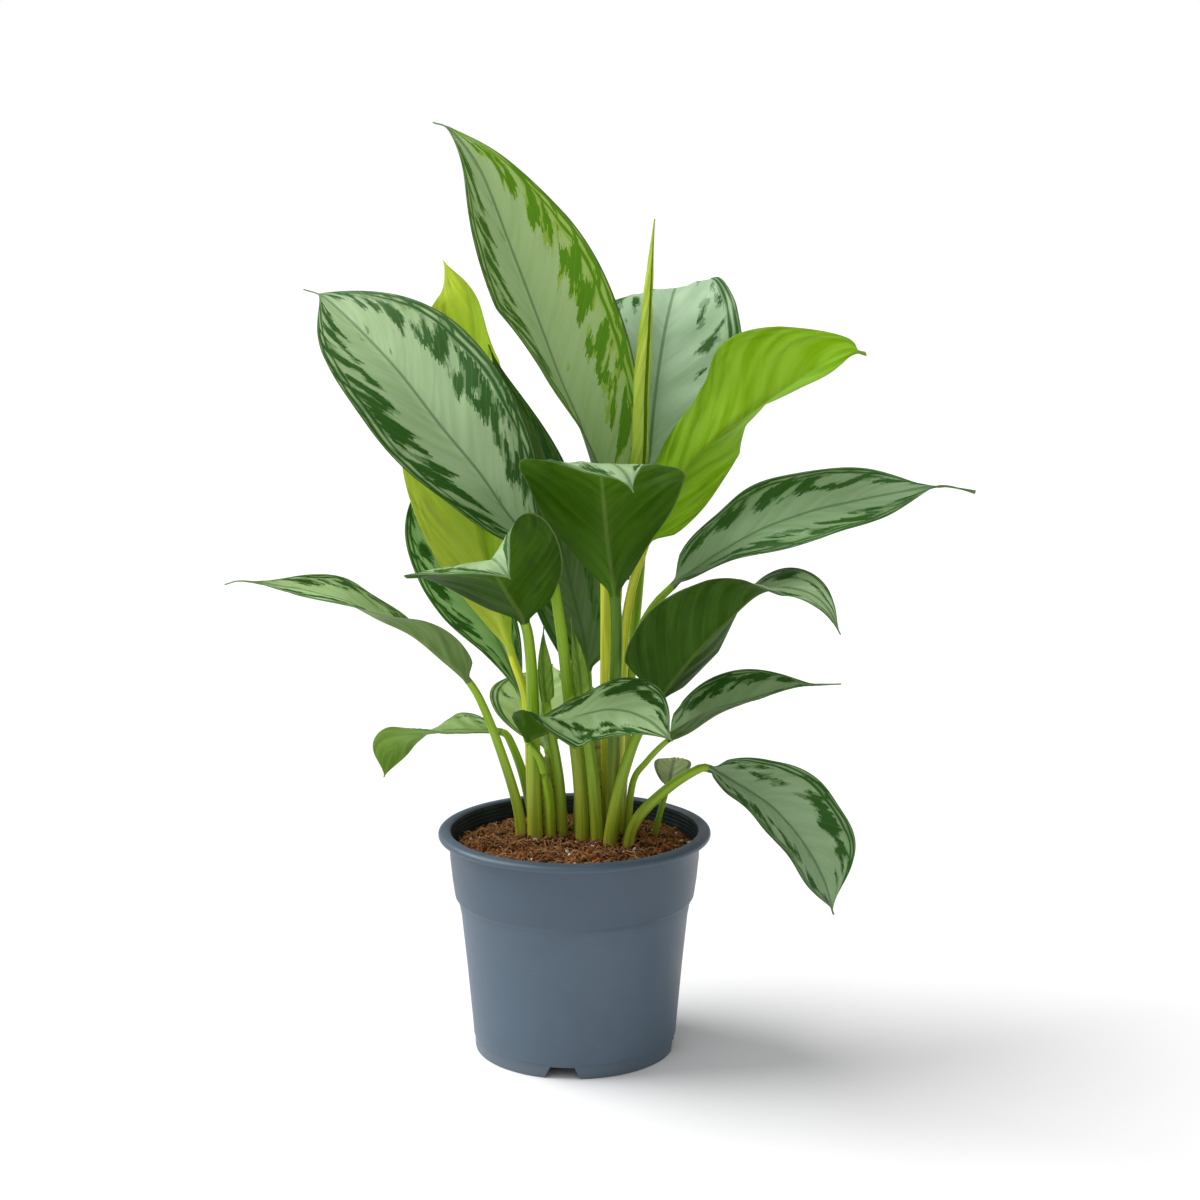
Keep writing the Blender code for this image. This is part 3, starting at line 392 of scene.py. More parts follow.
# ---- materials
class Web:
    """A material's node tree with short calls: every value may be a number, a colour or a socket."""

    def __init__(self, name, roughness=0.5, shine=0.2):
        self.material = bpy.data.materials.new(name)
        self.material.use_nodes = True
        self.tree = self.material.node_tree
        self.shader = self.tree.nodes["Principled BSDF"]
        self.shader.inputs["Roughness"].default_value = roughness
        self.shader.inputs["Specular IOR Level"].default_value = shine
        self.base = None

    def put(self, socket, value):
        if isinstance(value, bpy.types.NodeSocket):
            self.tree.links.new(value, socket)
        elif isinstance(value, tuple) and socket.type == "RGBA":
            socket.default_value = (*value, 1.0)
        else:
            socket.default_value = value

    def node(self, kind, values=(), **settings):
        """The outputs of a new node. values holds its inputs in order, or by name or place."""
        made = self.tree.nodes.new(kind)
        for name, value in settings.items():
            setattr(made, name, value)
        for key, value in values.items() if isinstance(values, dict) else enumerate(values):
            self.put(made.inputs[key], value)
        return made.outputs

    def math(self, operation, *values):
        return self.node("ShaderNodeMath", values, operation=operation)[0]

    def times(self, first, second, plus=0.0):
        return self.math("MULTIPLY_ADD", first, second, plus)

    def vector(self, x, y, z=0.0):
        return self.node("ShaderNodeCombineXYZ", (x, y, z))[0]

    def parts(self, vector):
        return tuple(self.node("ShaderNodeSeparateXYZ", (vector,)))

    def uv(self, name):
        return self.parts(self.node("ShaderNodeUVMap", uv_map=name)[0])

    def place(self):
        return self.node("ShaderNodeTexCoord")["Object"]

    def noise(self, vector, scale=1.0, detail=2.0, roughness=0.5):
        values = {"Vector": vector, "Scale": scale, "Detail": detail, "Roughness": roughness}
        return self.node("ShaderNodeTexNoise", values)[0]

    def streaks(self, along, across, rates, seed=0.0, **settings):
        """Noise that changes as fast along and across as the two rates say."""
        stretched = self.vector(self.times(along, rates[0]), self.times(across, rates[1]), seed)
        return self.noise(stretched, **settings)

    def chance(self, value):
        """A different number from 0 to 1 for every value."""
        return self.node("ShaderNodeTexWhiteNoise", {"W": value}, noise_dimensions="1D")["Value"]

    def step(self, value, low, high, to_low=0.0, to_high=1.0):
        """to_low below low, to_high above high, and a smooth rise between them."""
        values = {"Value": value, "From Min": low, "From Max": high, "To Min": to_low, "To Max": to_high}
        return self.node("ShaderNodeMapRange", values, interpolation_type="SMOOTHSTEP")[0]

    def mix(self, share, first, second):
        return self.node("ShaderNodeMix", {0: share, 6: first, 7: second}, data_type="RGBA")[2]

    def tint(self, share, colour):
        """Lays a colour over those before it, as strongly as share says."""
        self.base = self.mix(share, self.base, colour)

    def bump(self, height, distance, strength=0.35):
        values = {"Height": height, "Distance": distance, "Strength": strength}
        self.put(self.shader.inputs["Normal"], self.node("ShaderNodeBump", values)[0])

    def let_light_through(self, colour, share):
        """Mixes a translucent shader into the plain one, for thin living tissue."""
        through = self.node("ShaderNodeBsdfTranslucent", {"Color": colour})[0]
        both = self.node("ShaderNodeMixShader", (share, self.shader.outputs[0], through))[0]
        self.put(self.tree.nodes["Material Output"].inputs["Surface"], both)

    def done(self):
        """The material, once the colours laid over each other are on its shader."""
        self.put(self.shader.inputs["Base Color"], self.base)
        return self.material


def mixed(first, second, share):
    return tuple(a + (b - a) * share for a, b in zip(first, second))


def scaled(colour, times):
    return tuple(min(1.0, part * times) for part in colour)


Spot = namedtuple("Spot", "share signed reach vein off")


def blade_spot(web, length):
    """Where a point is on a blade of this length in decimetres.

    share runs from base to tip, signed from edge to edge, and reach from the midrib to the edge. vein is
    where the side vein through the point leaves the midrib, and off its distance from the midrib.
    """
    along, across, _ = web.uv("leaf")
    _, from_rib, _ = web.uv("metric")
    share = web.math("DIVIDE", along, length)
    signed = web.times(across, 2.0, -1.0)
    reach = web.math("ABSOLUTE", signed)
    straight, hugging = VEIN_REACH
    hug = web.math("LOGARITHM", web.times(reach, -EDGE_HUG, 1.0), math.e)
    vein = web.math("SUBTRACT", share, web.times(reach, straight, web.times(hug, -hugging)))
    return Spot(share, signed, reach, vein, web.math("ABSOLUTE", from_rib))


def blotches(web, one, length, spot, side):
    """(dark, mid) masks of the ragged blotches that follow the side veins, clear of the rib and the edge."""
    bands = web.times(spot.vein, length * BANDS)
    chance = web.chance(web.math("ADD", web.math("FLOOR", bands), side))
    teeth = web.times(chance, TOOTH, spot.reach)
    blunt = web.math("DIVIDE", web.math("FLOOR", web.times(teeth, TEETH)), TEETH)
    stepped = web.math("DIVIDE", web.math("FLOOR", bands), BANDS)
    field = web.streaks(stepped, blunt, BLOTCH_RATES, side, roughness=0.45)
    field = web.times(field, *BLOTCH_CONTRAST)
    for place, clear in ((blunt, RIB_CLEAR), (blunt, EDGE_CLEAR), (spot.share, BASE_CLEAR)):
        field = web.math("ADD", field, web.step(place, *clear))
    limit = ALL_DARK - one.cover
    blotch = web.step(field, limit, limit + 0.008)
    halo = web.step(field, limit - 0.09, limit - 0.05)
    vein_line = web.math("LESS_THAN", web.math("FRACT", web.math("DIVIDE", bands, VEIN_BANDS)), 0.05)
    between = web.times(vein_line, -0.35, 1.0)
    return web.times(blotch, between), halo, stepped


def edge_stripes(web, one, length, spot, stepped, side):
    """(dark, mid) masks of the broken stripes along the edge."""
    wander = web.streaks(spot.share, 0.0, (length * 3.0, 0.0), side, detail=1.0)
    inward = web.times(wander, 0.10, web.times(spot.reach, -1.0, 1.0))
    wave = web.math("SINE", web.times(inward, 2 * math.pi / STRIPE))
    breaks = web.streaks(stepped, inward, (6.0, 9.0), side, detail=1.0)
    wave = web.times(breaks, 3.4, wave)
    shy = 0.5 * (ALL_DARK - one.cover)
    outside = web.math("GREATER_THAN", spot.reach, STRIPES_FROM)
    return (web.times(web.step(wave, 1.62 + shy, 1.72 + shy), outside),
            web.times(web.step(wave, 0.6 + shy, 0.8 + shy), outside))


def dark_marks(web, one, length, spot):
    """(dark, mid) masks: jagged blotches along the side veins, and stripes along the edge."""
    side = web.times(web.math("SIGN", spot.signed), 9.0, one.seed)
    blotch, halo, stepped = blotches(web, one, length, spot, side)
    stripe, between = edge_stripes(web, one, length, spot, stepped, side)
    return web.math("MAXIMUM", blotch, stripe), web.math("MAXIMUM", halo, between)


def upper_material(one, length):
    """The upper side of a blade: silver along the middle, with dark ragged streaks towards the edge."""
    web = Web(one.name + "_upper", roughness=0.42)
    spot = blade_spot(web, length)
    dark, mid = dark_marks(web, one, length, spot)
    cloud = web.streaks(spot.vein, spot.reach, (length * 14.0, 1.5), one.seed)
    # painted backlight: glow paints one or both halves in warmer, lighter greens, as if lit through from
    # behind
    glow = web.step(spot.signed, -0.15, 0.15, *one.glow)
    web.base = web.mix(web.step(cloud, 0.36, 0.66), mixed(one.silver, SILVER_HAZE, 0.20),
                       mixed(one.silver, SILVER_SHADE, 0.22))
    web.tint(web.step(spot.reach, 0.45, 1.0, 0.0, 0.45), mixed(one.silver, SILVER_EDGE, 0.6))
    web.tint(web.times(glow, 0.35), BACKLIT_SILVER)
    web.tint(web.times(glow, web.step(spot.reach, 0.55, 0.95, 0.0, 0.7)), BACKLIT_EDGE)
    web.tint(mid, web.mix(glow, mixed(DARK, one.silver, 0.38), mixed(BACKLIT_DARK, BACKLIT_HALO, 0.6)))
    web.tint(dark, web.mix(glow, DARK, BACKLIT_DARK))
    # painted shade: a dark line along the midrib, for the shadow in the groove over it
    web.tint(web.step(spot.off, 0.006, 0.014, 0.9, 0.0), mixed(one.silver, RIB_GROOVE_SHADE, 0.7))
    web.tint(web.step(spot.reach, 0.965, 0.99), mixed(DARK, EDGE_LINE, 0.5))
    web.bump(web.streaks(spot.vein, spot.reach, (length * 60.0, 6.0)), 0.0004)
    web.let_light_through(web.mix(dark, LIGHT_IN_SILVER, LIGHT_IN_DARK), one.through)
    return web.done()


def lower_material(one, length):
    """The under side of a blade: plain green with a pale midrib and faint veins."""
    web = Web(one.name + "_lower", shine=0.1)
    spot = blade_spot(web, length)
    ripple = web.math("SINE", web.times(spot.vein, 2 * math.pi * 15.0))
    cloud = web.streaks(spot.vein, spot.reach, (length * 9.0, 1.2), one.seed)
    taper = web.step(spot.share, 0.0, 1.0, 0.016, 0.005)
    # the clouds are partly uneven tone and partly painted highlight: their pale end turns towards a
    # yellow-white, most on the greenest under sides
    web.base = web.mix(web.step(cloud, 0.33, 0.68), scaled(one.under, 0.80),
                       mixed(scaled(one.under, 1.20), UNDER_HIGHLIGHT, 0.16 * one.under[1]))
    web.tint(web.step(ripple, 0.80, 1.0, 0.0, 0.10), mixed(one.under, UNDER_VEIN, 0.4))
    web.tint(web.step(web.math("DIVIDE", spot.off, taper), 0.6, 1.4, 0.35, 0.0),
             mixed(one.under, UNDER_RIB, 0.5))
    web.tint(web.step(spot.reach, 0.97, 0.995), mixed(one.under, UNDER_EDGE, 0.4))
    web.bump(web.times(ripple, 0.3, cloud), 0.0005, 0.4)
    web.let_light_through(mixed(one.under, LIGHT_IN_UNDER, 0.55), one.through)
    return web.done()


def stalk_material(one, length):
    """A stalk: yellowish and a little brown at the foot, greener towards the blade, with long streaks."""
    web = Web(one.name + "_stalk", roughness=0.36, shine=0.35)
    along, across, _ = web.uv("leaf")
    streaks = web.streaks(along, across, (0.9, 3.6), one.seed, roughness=0.6)
    fine = web.streaks(along, across, (1.5, 14.0), one.seed, detail=1.0)
    shade, pale = mixed(one.stalk_colour, STALK_SHADE, 0.50), mixed(one.stalk_colour, STALK_PALE, 0.60)
    foot = web.step(along, -length, STALK_SCAR - length, 0.8, 0.0)
    web.base = web.mix(web.step(along, -length, -0.35 * length),
                       mixed(STALK_FOOT, one.stalk_colour, 0.25), one.stalk_colour)
    web.tint(web.step(streaks, 0.46, 0.62, 0.0, 0.65), shade)
    web.tint(web.step(streaks, 0.32, 0.42, 0.60, 0.0), pale)
    web.tint(web.step(fine, 0.50, 0.70, 0.0, 0.18), shade)
    web.tint(web.times(foot, web.step(streaks, 0.40, 0.56)), FOOT_BROWN)
    web.bump(fine, 0.0003)
    web.let_light_through(LIGHT_IN_STALK, 0.12)
    return web.done()


def bark_material():
    """A short green cane with brown leaf scars."""
    web = Web("cane_skin", roughness=0.55)
    _, _, height = web.parts(web.place())
    rings = web.noise(web.vector(0.0, 0.0, web.times(height, 190.0)), detail=1.0)
    spots = web.noise(web.place(), scale=260.0, detail=4.0, roughness=0.65)
    low = web.step(height, 0.131, 0.150, 0.75, 0.0)
    web.base = web.mix(web.step(spots, 0.35, 0.65), CANE_PALE, CANE_GREEN)
    web.tint(web.step(rings, 0.58, 0.66, 0.0, 0.6), CANE_SCAR)
    web.tint(web.times(low, web.step(spots, 0.40, 0.60)), CANE_FOOT)
    web.bump(spots, 0.0006, 0.6)
    return web.done()


def pot_material():
    """Blue-grey moulded plastic, slightly uneven in tone and gloss, with painted shade on the collar up to
    the rim, a little dusty at the foot.
    """
    web = Web("pot_outside", roughness=0.42, shine=0.6)
    place = web.place()
    x, y, height = web.parts(place)
    cloud = web.noise(place, scale=22.0, detail=4.0, roughness=0.6)
    stretched = web.vector(web.times(x, 60.0), web.times(y, 60.0), web.times(height, 420.0))
    scuffs = web.noise(stretched, detail=3.0)
    web.base = web.mix(web.step(cloud, 0.35, 0.65), PLASTIC, PLASTIC_PALE)
    web.tint(web.step(scuffs, 0.64, 0.76, 0.0, 0.06), PLASTIC_SCUFF)
    # painted shade: from the collar's step up to the rim the plastic is darkened, as if in the shadow of the
    # lip
    web.tint(web.step(height, 0.092, 0.100, 0.0, 0.40), PLASTIC_COLLAR_SHADE)
    web.tint(web.step(height, 0.0, 0.012, 0.25, 0.0), PLASTIC_DUST)
    web.put(web.shader.inputs["Roughness"], web.step(cloud, 0.3, 0.7, 0.42, 0.52))
    web.bump(web.noise(place, scale=1400.0), 0.00008, 0.5)
    return web.done()


def pot_inside_material():
    """The wall inside the pot, damp and painted much darker than the outside as painted shade, with a fine
    moulded texture.
    """
    web = Web("pot_inside")
    place = web.place()
    cloud = web.noise(place, scale=60.0, detail=4.0, roughness=0.6)
    web.base = web.mix(web.step(cloud, 0.4, 0.7), INSIDE_DARK, INSIDE_PALE)
    web.bump(web.noise(place, scale=900.0), 0.0001, 0.5)
    return web.done()


def soil_material():
    """Moist coir and bark, in browns that change from clod to clod."""
    web = Web("soil_mix", roughness=0.92, shine=0.1)
    place = web.place()
    clods = web.noise(place, scale=170.0, detail=5.0, roughness=0.7)
    dust = web.noise(place, scale=900.0, detail=3.0, roughness=0.7)
    web.base = web.mix(web.step(clods, 0.34, 0.66), SOIL_DARK, SOIL_BROWN)
    web.tint(web.step(dust, 0.55, 0.75, 0.0, 0.6), SOIL_DUST)
    web.bump(web.times(dust, 0.4, clods), 0.0016, 1.0)
    return web.done()


def grain_material(name, dark, pale):
    """Loose grains: each one takes its own tone between dark and pale."""
    web = Web(name, roughness=0.9, shine=0.1)
    tone, _, _ = web.uv("tone")
    dust = web.noise(web.place(), scale=1500.0, detail=3.0, roughness=0.7)
    web.base = web.mix(tone, dark, pale)
    web.tint(web.step(dust, 0.45, 0.75, 0.0, 0.35), mixed(pale, GRAIN_DUST, 0.3))
    web.bump(dust, 0.0003, 0.6)
    return web.done()


def floor_material():
    web = Web("studio_floor", roughness=0.85)
    web.base = web.mix(web.noise(web.place(), scale=3.0), FLOOR_GREY, FLOOR_PALE)
    return web.done()


# ---- meshes
def put_in_scene(name, data):
    made = bpy.data.objects.new(name, data)
    bpy.context.scene.collection.objects.link(made)
    return made


def new_piece(name, points, faces, materials, slots=None, maps=None, smooth=True):
    """A mesh object from points in millimetres from the pot's axis. maps holds a (u, v) for each by name."""
    mesh = bpy.data.meshes.new(name)
    mesh.from_pydata([tuple(point) for point in np.asarray(points, float) * MM + AXIS], [], faces)
    for each in materials:
        mesh.materials.append(each)
    if slots is not None:
        mesh.polygons.foreach_set("material_index", slots)
    corners = np.empty(len(mesh.loops), np.int32)
    mesh.loops.foreach_get("vertex_index", corners)
    for map_name, places in (maps or {}).items():
        layer = mesh.uv_layers.new(name=map_name)
        layer.data.foreach_set("uv", np.asarray(places, float)[corners].ravel())
    mesh.polygons.foreach_set("use_smooth", [smooth] * len(mesh.polygons))
    mesh.update()
    return put_in_scene(name, mesh)


def keep_in_place(piece, node):
    """The piece moves with the part and hides the CAD node that it stands for, if there is one."""
    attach(piece, "root")
    if node is not None:
        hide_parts(node)


def full_turn(count):
    """Angles all the way round, in radians."""
    return 2 * math.pi * np.arange(count) / count


def tube_faces(rings, around, first=0):
    """Faces that join rings of points one to the next, with a lid at each end."""
    faces = []
    for start in range(first, first + (rings - 1) * around, around):
        for i in range(around):
            a, b = start + i, start + (i + 1) % around
            faces.append((a, b, b + around, a + around))
    last = first + (rings - 1) * around
    return faces + [tuple(range(first + around - 1, first - 1, -1)), tuple(range(last, last + around))]


def rise(value, low, high):
    """0 below low, 1 above high and a smooth rise between them."""
    part = np.clip((value - low) / (high - low), 0.0, 1.0)
    return part * part * (3 - 2 * part)


# ---- leaves
def smooth_path(points):
    """The points joined by a smooth curve (Catmull-Rom) that starts upright, as an array of positions."""
    points = np.array(points, float)
    below = np.array((points[1][0], points[1][1], 2 * points[0][2] - points[1][2]))
    ends = np.vstack([below, points, 2 * points[-1] - points[-2]])
    path = []
    for i in range(1, len(ends) - 2):
        before, start, stop, after = ends[i - 1:i + 3]
        for u in np.arange(PATH_STEPS) / PATH_STEPS:
            path.append(0.5 * (2 * start + (stop - before) * u
                               + (2 * before - 5 * start + 4 * stop - after) * u ** 2
                               + (3 * start - before - 3 * stop + after) * u ** 3))
    path.append(points[-1])
    return np.array(path)


def unit(vector):
    return vector / np.linalg.norm(vector)


def at_share(values, share):
    """The value at a share from 0 to 1 of an evenly spaced list, between neighbours."""
    values = np.array(values, float)
    place = share * (len(values) - 1)
    low = min(int(place), len(values) - 2)
    return values[low] + (values[low + 1] - values[low]) * (place - low)


def outline(one, share):
    """Half the width of the blade at a share of its length, as a part of its greatest."""
    widest, base_power, tip_power = one.shape
    if share < widest:
        return (1.0 - ((widest - share) / widest) ** 2) ** base_power
    past = min(1.0, (share - widest) / (1.0 - one.tail - widest))
    return (0.5 * (1.0 + math.cos(math.pi * past ** 1.3))) ** tip_power


def puckers(share, reach, seed):
    """How far the blade bulges between its side veins, in millimetres, as three waves."""
    straight, hugging = VEIN_REACH
    vein = share - (straight * reach - hugging * np.log(1 - EDGE_HUG * reach))
    fade = rise(share, 0.04, 0.2) * (1 - rise(share, 0.75, 0.98))
    fade = fade * np.sin(math.pi * np.clip(reach, 0, 1)) ** 0.7
    bulge = 0.0
    for height, count, slant, shift in PUCKERS:
        bulge = bulge + height * np.sin(2 * math.pi * (count * vein + slant * reach) + shift * seed)
    return fade * bulge


def blade_offset(one, side, reach, share, half):
    """(sideways, up, tilt) of points of the blade's middle surface, seen along the midrib."""
    fold = math.radians(at_share(one.fold[side], share))
    curl = math.radians(at_share(one.curl[side], share)) + LEAST_CURL
    tilt = fold + curl * reach
    sideways = half / curl * (np.sin(tilt) - np.sin(fold))
    up = half / curl * (np.cos(fold) - np.cos(tilt))
    height, count, start = one.ripple
    wave = math.sin(2 * math.pi * (count * share + start + 0.37 * side)) * min(1.0, 4 * share)
    return sideways, up + height * reach ** 2 * wave + puckers(share, reach, one.seed + 3.0 * side), tilt


def half_ring(one, side, share, on_stalk):
    """Upper and lower (sideways, up, signed, from_rib) points of one half of a ring, midrib to edge."""
    foot, top = one.radii
    stalk_half = foot + (top - foot) * share if on_stalk else top * (1.0 - 0.6 * share)
    reach = np.sin(np.linspace(0.0, 1.0, HALF_PLACES) * math.pi / 2)
    way = -1.0 if side == 0 else 1.0
    angle = reach * math.pi / 2
    half = max(stalk_half * (1.0 - share), one.width[side] / 2 * outline(one, share), TIP_HALF)
    blade = 0.0 if on_stalk else rise(share, 0.0, 0.06)
    sideways, up, tilt = blade_offset(one, side, reach, 0.0 if on_stalk else share, half)
    lamina = LAMINA / 2 * np.sqrt(np.clip(1.0 - reach ** 8, 0.0, 1.0))
    distance = reach * half
    rib = (RIB * (1.0 - share) ** 1.3 + 0.2) * np.exp(-(distance / (0.9 + 1.1 * (1.0 - share))) ** 2)
    groove = GROOVE * (1.0 - share) * np.exp(-(distance / 1.1) ** 2)
    faces = []
    for face, depth in ((1.0, lamina - groove), (-1.0, -lamina - rib)):
        round_x, round_y = stalk_half * np.sin(angle), face * STALK_FLAT * stalk_half * np.cos(angle)
        flat_x = sideways - depth * np.sin(tilt) * np.minimum(1.0, 6 * reach)
        flat_y = up + depth * np.cos(tilt * np.minimum(1.0, 6 * reach))
        x = way * (round_x + (flat_x - round_x) * blade)
        y = round_y + (flat_y - round_y) * blade
        faces.append((x, y, way * reach, way * distance))
    return faces


def leaf_stations(one):
    """(position, share, on_stalk, along, facing, place) for each ring, foot to tip, and the two lengths."""
    path = smooth_path(one.stalk + one.rib)
    steps = np.linalg.norm(np.diff(path, axis=0), axis=1)
    length = np.concatenate([[0.0], np.cumsum(steps)])
    blade_start = length[len(one.stalk) * PATH_STEPS]
    blade_length = length[-1] - blade_start
    tangents = np.gradient(path, length, axis=0)
    shares = [(i / STALK_RINGS, True, i / STALK_RINGS * blade_start) for i in range(STALK_RINGS)]
    for i in range(BLADE_RINGS + 1):
        share = 0.5 * (i / BLADE_RINGS + math.sin(i / BLADE_RINGS * math.pi / 2))
        shares.append((share, False, blade_start + share * blade_length))
    stations = []
    for share, on_stalk, place in shares:
        position = np.array([np.interp(place, length, path[:, k]) for k in range(3)])
        along = unit(np.array([np.interp(place, length, tangents[:, k]) for k in range(3)]))
        facing = at_share(one.facing, 0.0 if on_stalk else share)
        facing = unit(facing - along * np.dot(facing, along))
        stations.append((position, share, on_stalk, along, facing, place - blade_start))
    return stations, blade_start, blade_length


def leaf_rings(one, stations):
    """The rings of points, and where each point is: (along, across), and (along, off the midrib)."""
    rings, leaf_map, metric_map = [], [], []
    for position, share, on_stalk, along, facing, place in stations:
        left, right = (half_ring(one, side, share, on_stalk) for side in (0, 1))
        upper = [np.concatenate([a[::-1], b[1:]]) for a, b in zip(left[0], right[0])]
        lower = [np.concatenate([b[-2::-1], a[1:-1]]) for a, b in zip(left[1], right[1])]
        x, y, signed, from_rib = (np.concatenate([a, b]) for a, b in zip(upper, lower))
        rings.append(position + np.outer(x, np.cross(along, facing)) + np.outer(y, facing))
        far = np.full(len(x), place / DECIMETRE)
        leaf_map.append(np.column_stack([far, (signed + 1) / 2]))
        metric_map.append(np.column_stack([far, from_rib / DECIMETRE]))
    return rings, {"leaf": np.vstack(leaf_map), "metric": np.vstack(metric_map)}


def build_leaf(one):
    stations, stalk_length, blade_length = leaf_stations(one)
    rings, maps = leaf_rings(one, stations)
    around = len(rings[0])
    top_side = 2 * (HALF_PLACES - 1)
    blade_slots = [UPPER] * top_side + [LOWER] * (around - top_side)
    slots = [STALK] * (STALK_RINGS * around) + blade_slots * (len(rings) - 1 - STALK_RINGS) + [STALK, LOWER]
    materials = (upper_material(one, blade_length / DECIMETRE),
                 lower_material(one, blade_length / DECIMETRE),
                 stalk_material(one, stalk_length / DECIMETRE))
    piece = new_piece(one.name + "_blade", np.vstack(rings), tube_faces(len(rings), around),
                      materials, slots, maps)
    keep_in_place(piece, one.name)


# ---- pot
def ringed_inside():
    """The inside profile with the fine moulded rings near the rim."""
    profile = list(POT_INSIDE[:-3])
    foot_radius, foot_height = POT_INSIDE[-4]
    for height in RING_HEIGHTS:
        wall = foot_radius + (height - foot_height) * COLLAR_SLOPE
        for above, depth in ((-0.8, 0.0), (-0.3, RING_DEPTH), (0.3, RING_DEPTH), (0.8, 0.0)):
            profile.append((wall - depth, height + above))
    return tuple(profile) + POT_INSIDE[-2:]


def turned(name, profile, steps, materials, slot_of):
    """A closed body of revolution about the pot's axis, from a profile in millimetres."""
    points, faces, slots, rings = [], [], [], []
    turns = full_turn(steps)
    for radius, height in profile:
        rings.append((len(points), 1 if radius == 0 else steps))
        for turn in turns[:1] if radius == 0 else turns:
            points.append((radius * math.cos(turn), radius * math.sin(turn), height))
    for k in range(len(profile)):
        (a, count_a), (b, count_b) = rings[k], rings[(k + 1) % len(profile)]
        if count_a == count_b == 1:
            continue
        for i in range(steps):
            j = (i + 1) % steps
            corners = (a + i % count_a, a + j % count_a, b + j % count_b, b + i % count_b)
            faces.append(tuple(dict.fromkeys(corners))[::-1])
            slots.append(slot_of(k))
    return new_piece(name, points, faces, materials, slots)


def cut_away(piece, cutters):
    """Takes the cutters out of the piece for good, and shades it smooth up to a crease."""
    for cutter in cutters:
        boolean = piece.modifiers.new(cutter.name, "BOOLEAN")
        boolean.operation = "DIFFERENCE"
        boolean.solver = "EXACT"
        boolean.object = cutter
    graph = bpy.context.evaluated_depsgraph_get()
    mesh = bpy.data.meshes.new_from_object(piece.evaluated_get(graph))
    piece.modifiers.clear()
    piece.data = mesh
    mesh.polygons.foreach_set("use_smooth", [True] * len(mesh.polygons))
    mesh.set_sharp_from_angle(angle=math.radians(CREASE))
    for cutter in cutters:
        bpy.data.objects.remove(cutter)


def notch_cutter(index):
    turn = math.radians(NOTCH_TURN - 90.0 + index * 360.0 / NOTCH_COUNT)
    out = np.array((math.cos(turn), math.sin(turn), 0.0))
    side = np.array((-out[1], out[0], 0.0))
    points = []
    for radius in NOTCH_RADII:
        for half, height in ((NOTCH_FOOT / 2, -1.0), (NOTCH_TOP / 2, NOTCH_HEIGHT)):
            for way in (-1.0, 1.0):
                points.append(out * radius + side * way * half + np.array((0.0, 0.0, height)))
    faces = [(0, 2, 3, 1), (4, 5, 7, 6), (0, 1, 5, 4), (2, 6, 7, 3), (0, 4, 6, 2), (1, 3, 7, 5)]
    return new_piece(f"cut_notch_{index}", points, faces, ())


def drain_cutter(index):
    turn = 2 * math.pi * (index + 0.5) / DRAIN_COUNT
    x, y = DRAIN_CIRCLE * math.cos(turn), DRAIN_CIRCLE * math.sin(turn)
    points = [(x + DRAIN_RADIUS * math.cos(a), y + DRAIN_RADIUS * math.sin(a), height)
              for height in DRAIN_HEIGHTS for a in full_turn(DRAIN_STEPS)]
    return new_piece(f"cut_drain_{index}", points, tube_faces(2, DRAIN_STEPS), ())


def build_pot():
    inside = ringed_inside()
    first_wall = len(POT_OUTSIDE) + INSIDE_FROM
    last_wall = len(POT_OUTSIDE) + len(inside) - INSIDE_TO
    pot = turned("pot_shell", POT_OUTSIDE + inside, POT_STEPS, (pot_material(), pot_inside_material()),
                 lambda k: 1 if first_wall <= k <= last_wall else 0)
    cutters = [notch_cutter(i) for i in range(NOTCH_COUNT)] + [drain_cutter(i) for i in range(DRAIN_COUNT)]
    cut_away(pot, cutters)
    keep_in_place(pot, "pot")


# ---- canes
def build_canes():
    skin = bark_material()
    for name, foot, head, foot_radius, head_radius in CANES:
        points = []
        for k in range(CANE_RINGS + 1):
            share = k / CANE_RINGS
            centre = np.array(foot) + (np.array(head) - np.array(foot)) * share
            scar = SCAR_HEIGHT * max(0.0, math.sin(2 * math.pi * SCAR_COUNT * share)) ** 6
            radius = foot_radius + (head_radius - foot_radius) * share - CANE_INSET + scar
            radius *= math.sqrt(max(0.02, 1.0 - rise(share, 0.93, 1.0) * 0.9))
            for turn in full_turn(CANE_ROUND):
                points.append(centre + radius * np.array((math.cos(turn), math.sin(turn), 0.0)))
        faces = tube_faces(CANE_RINGS + 1, CANE_ROUND)
        keep_in_place(new_piece(name + "_skin", points, faces, (skin,)), name)


# ---- soil
def lumps(x, y, seed):
    """Smooth bumps from -1 to 1 made of a few waves in fixed random directions."""
    random = np.random.default_rng(seed)
    total = np.zeros(np.shape(x))
    for rate in CLOD_WAVES:
        for _ in range(CLOD_TURNS):
            turn, phase = random.uniform(0, 2 * math.pi, 2)
            wave = np.sin(rate * (np.cos(turn) * x + np.sin(turn) * y) + phase)
            total += wave * 0.5 / (1 + 1.6 * rate)
    return total / 4.0


def soil_height(x, y):
    radius = np.hypot(x, y)
    level = np.interp(radius, [r for r, _ in SOIL_TOP], [z for _, z in SOIL_TOP])
    return level + SOIL_ROUGH * lumps(x, y, CLOD_SEED) * (1 - rise(radius, SOIL_SMOOTH_FROM, SOIL_RADIUS))


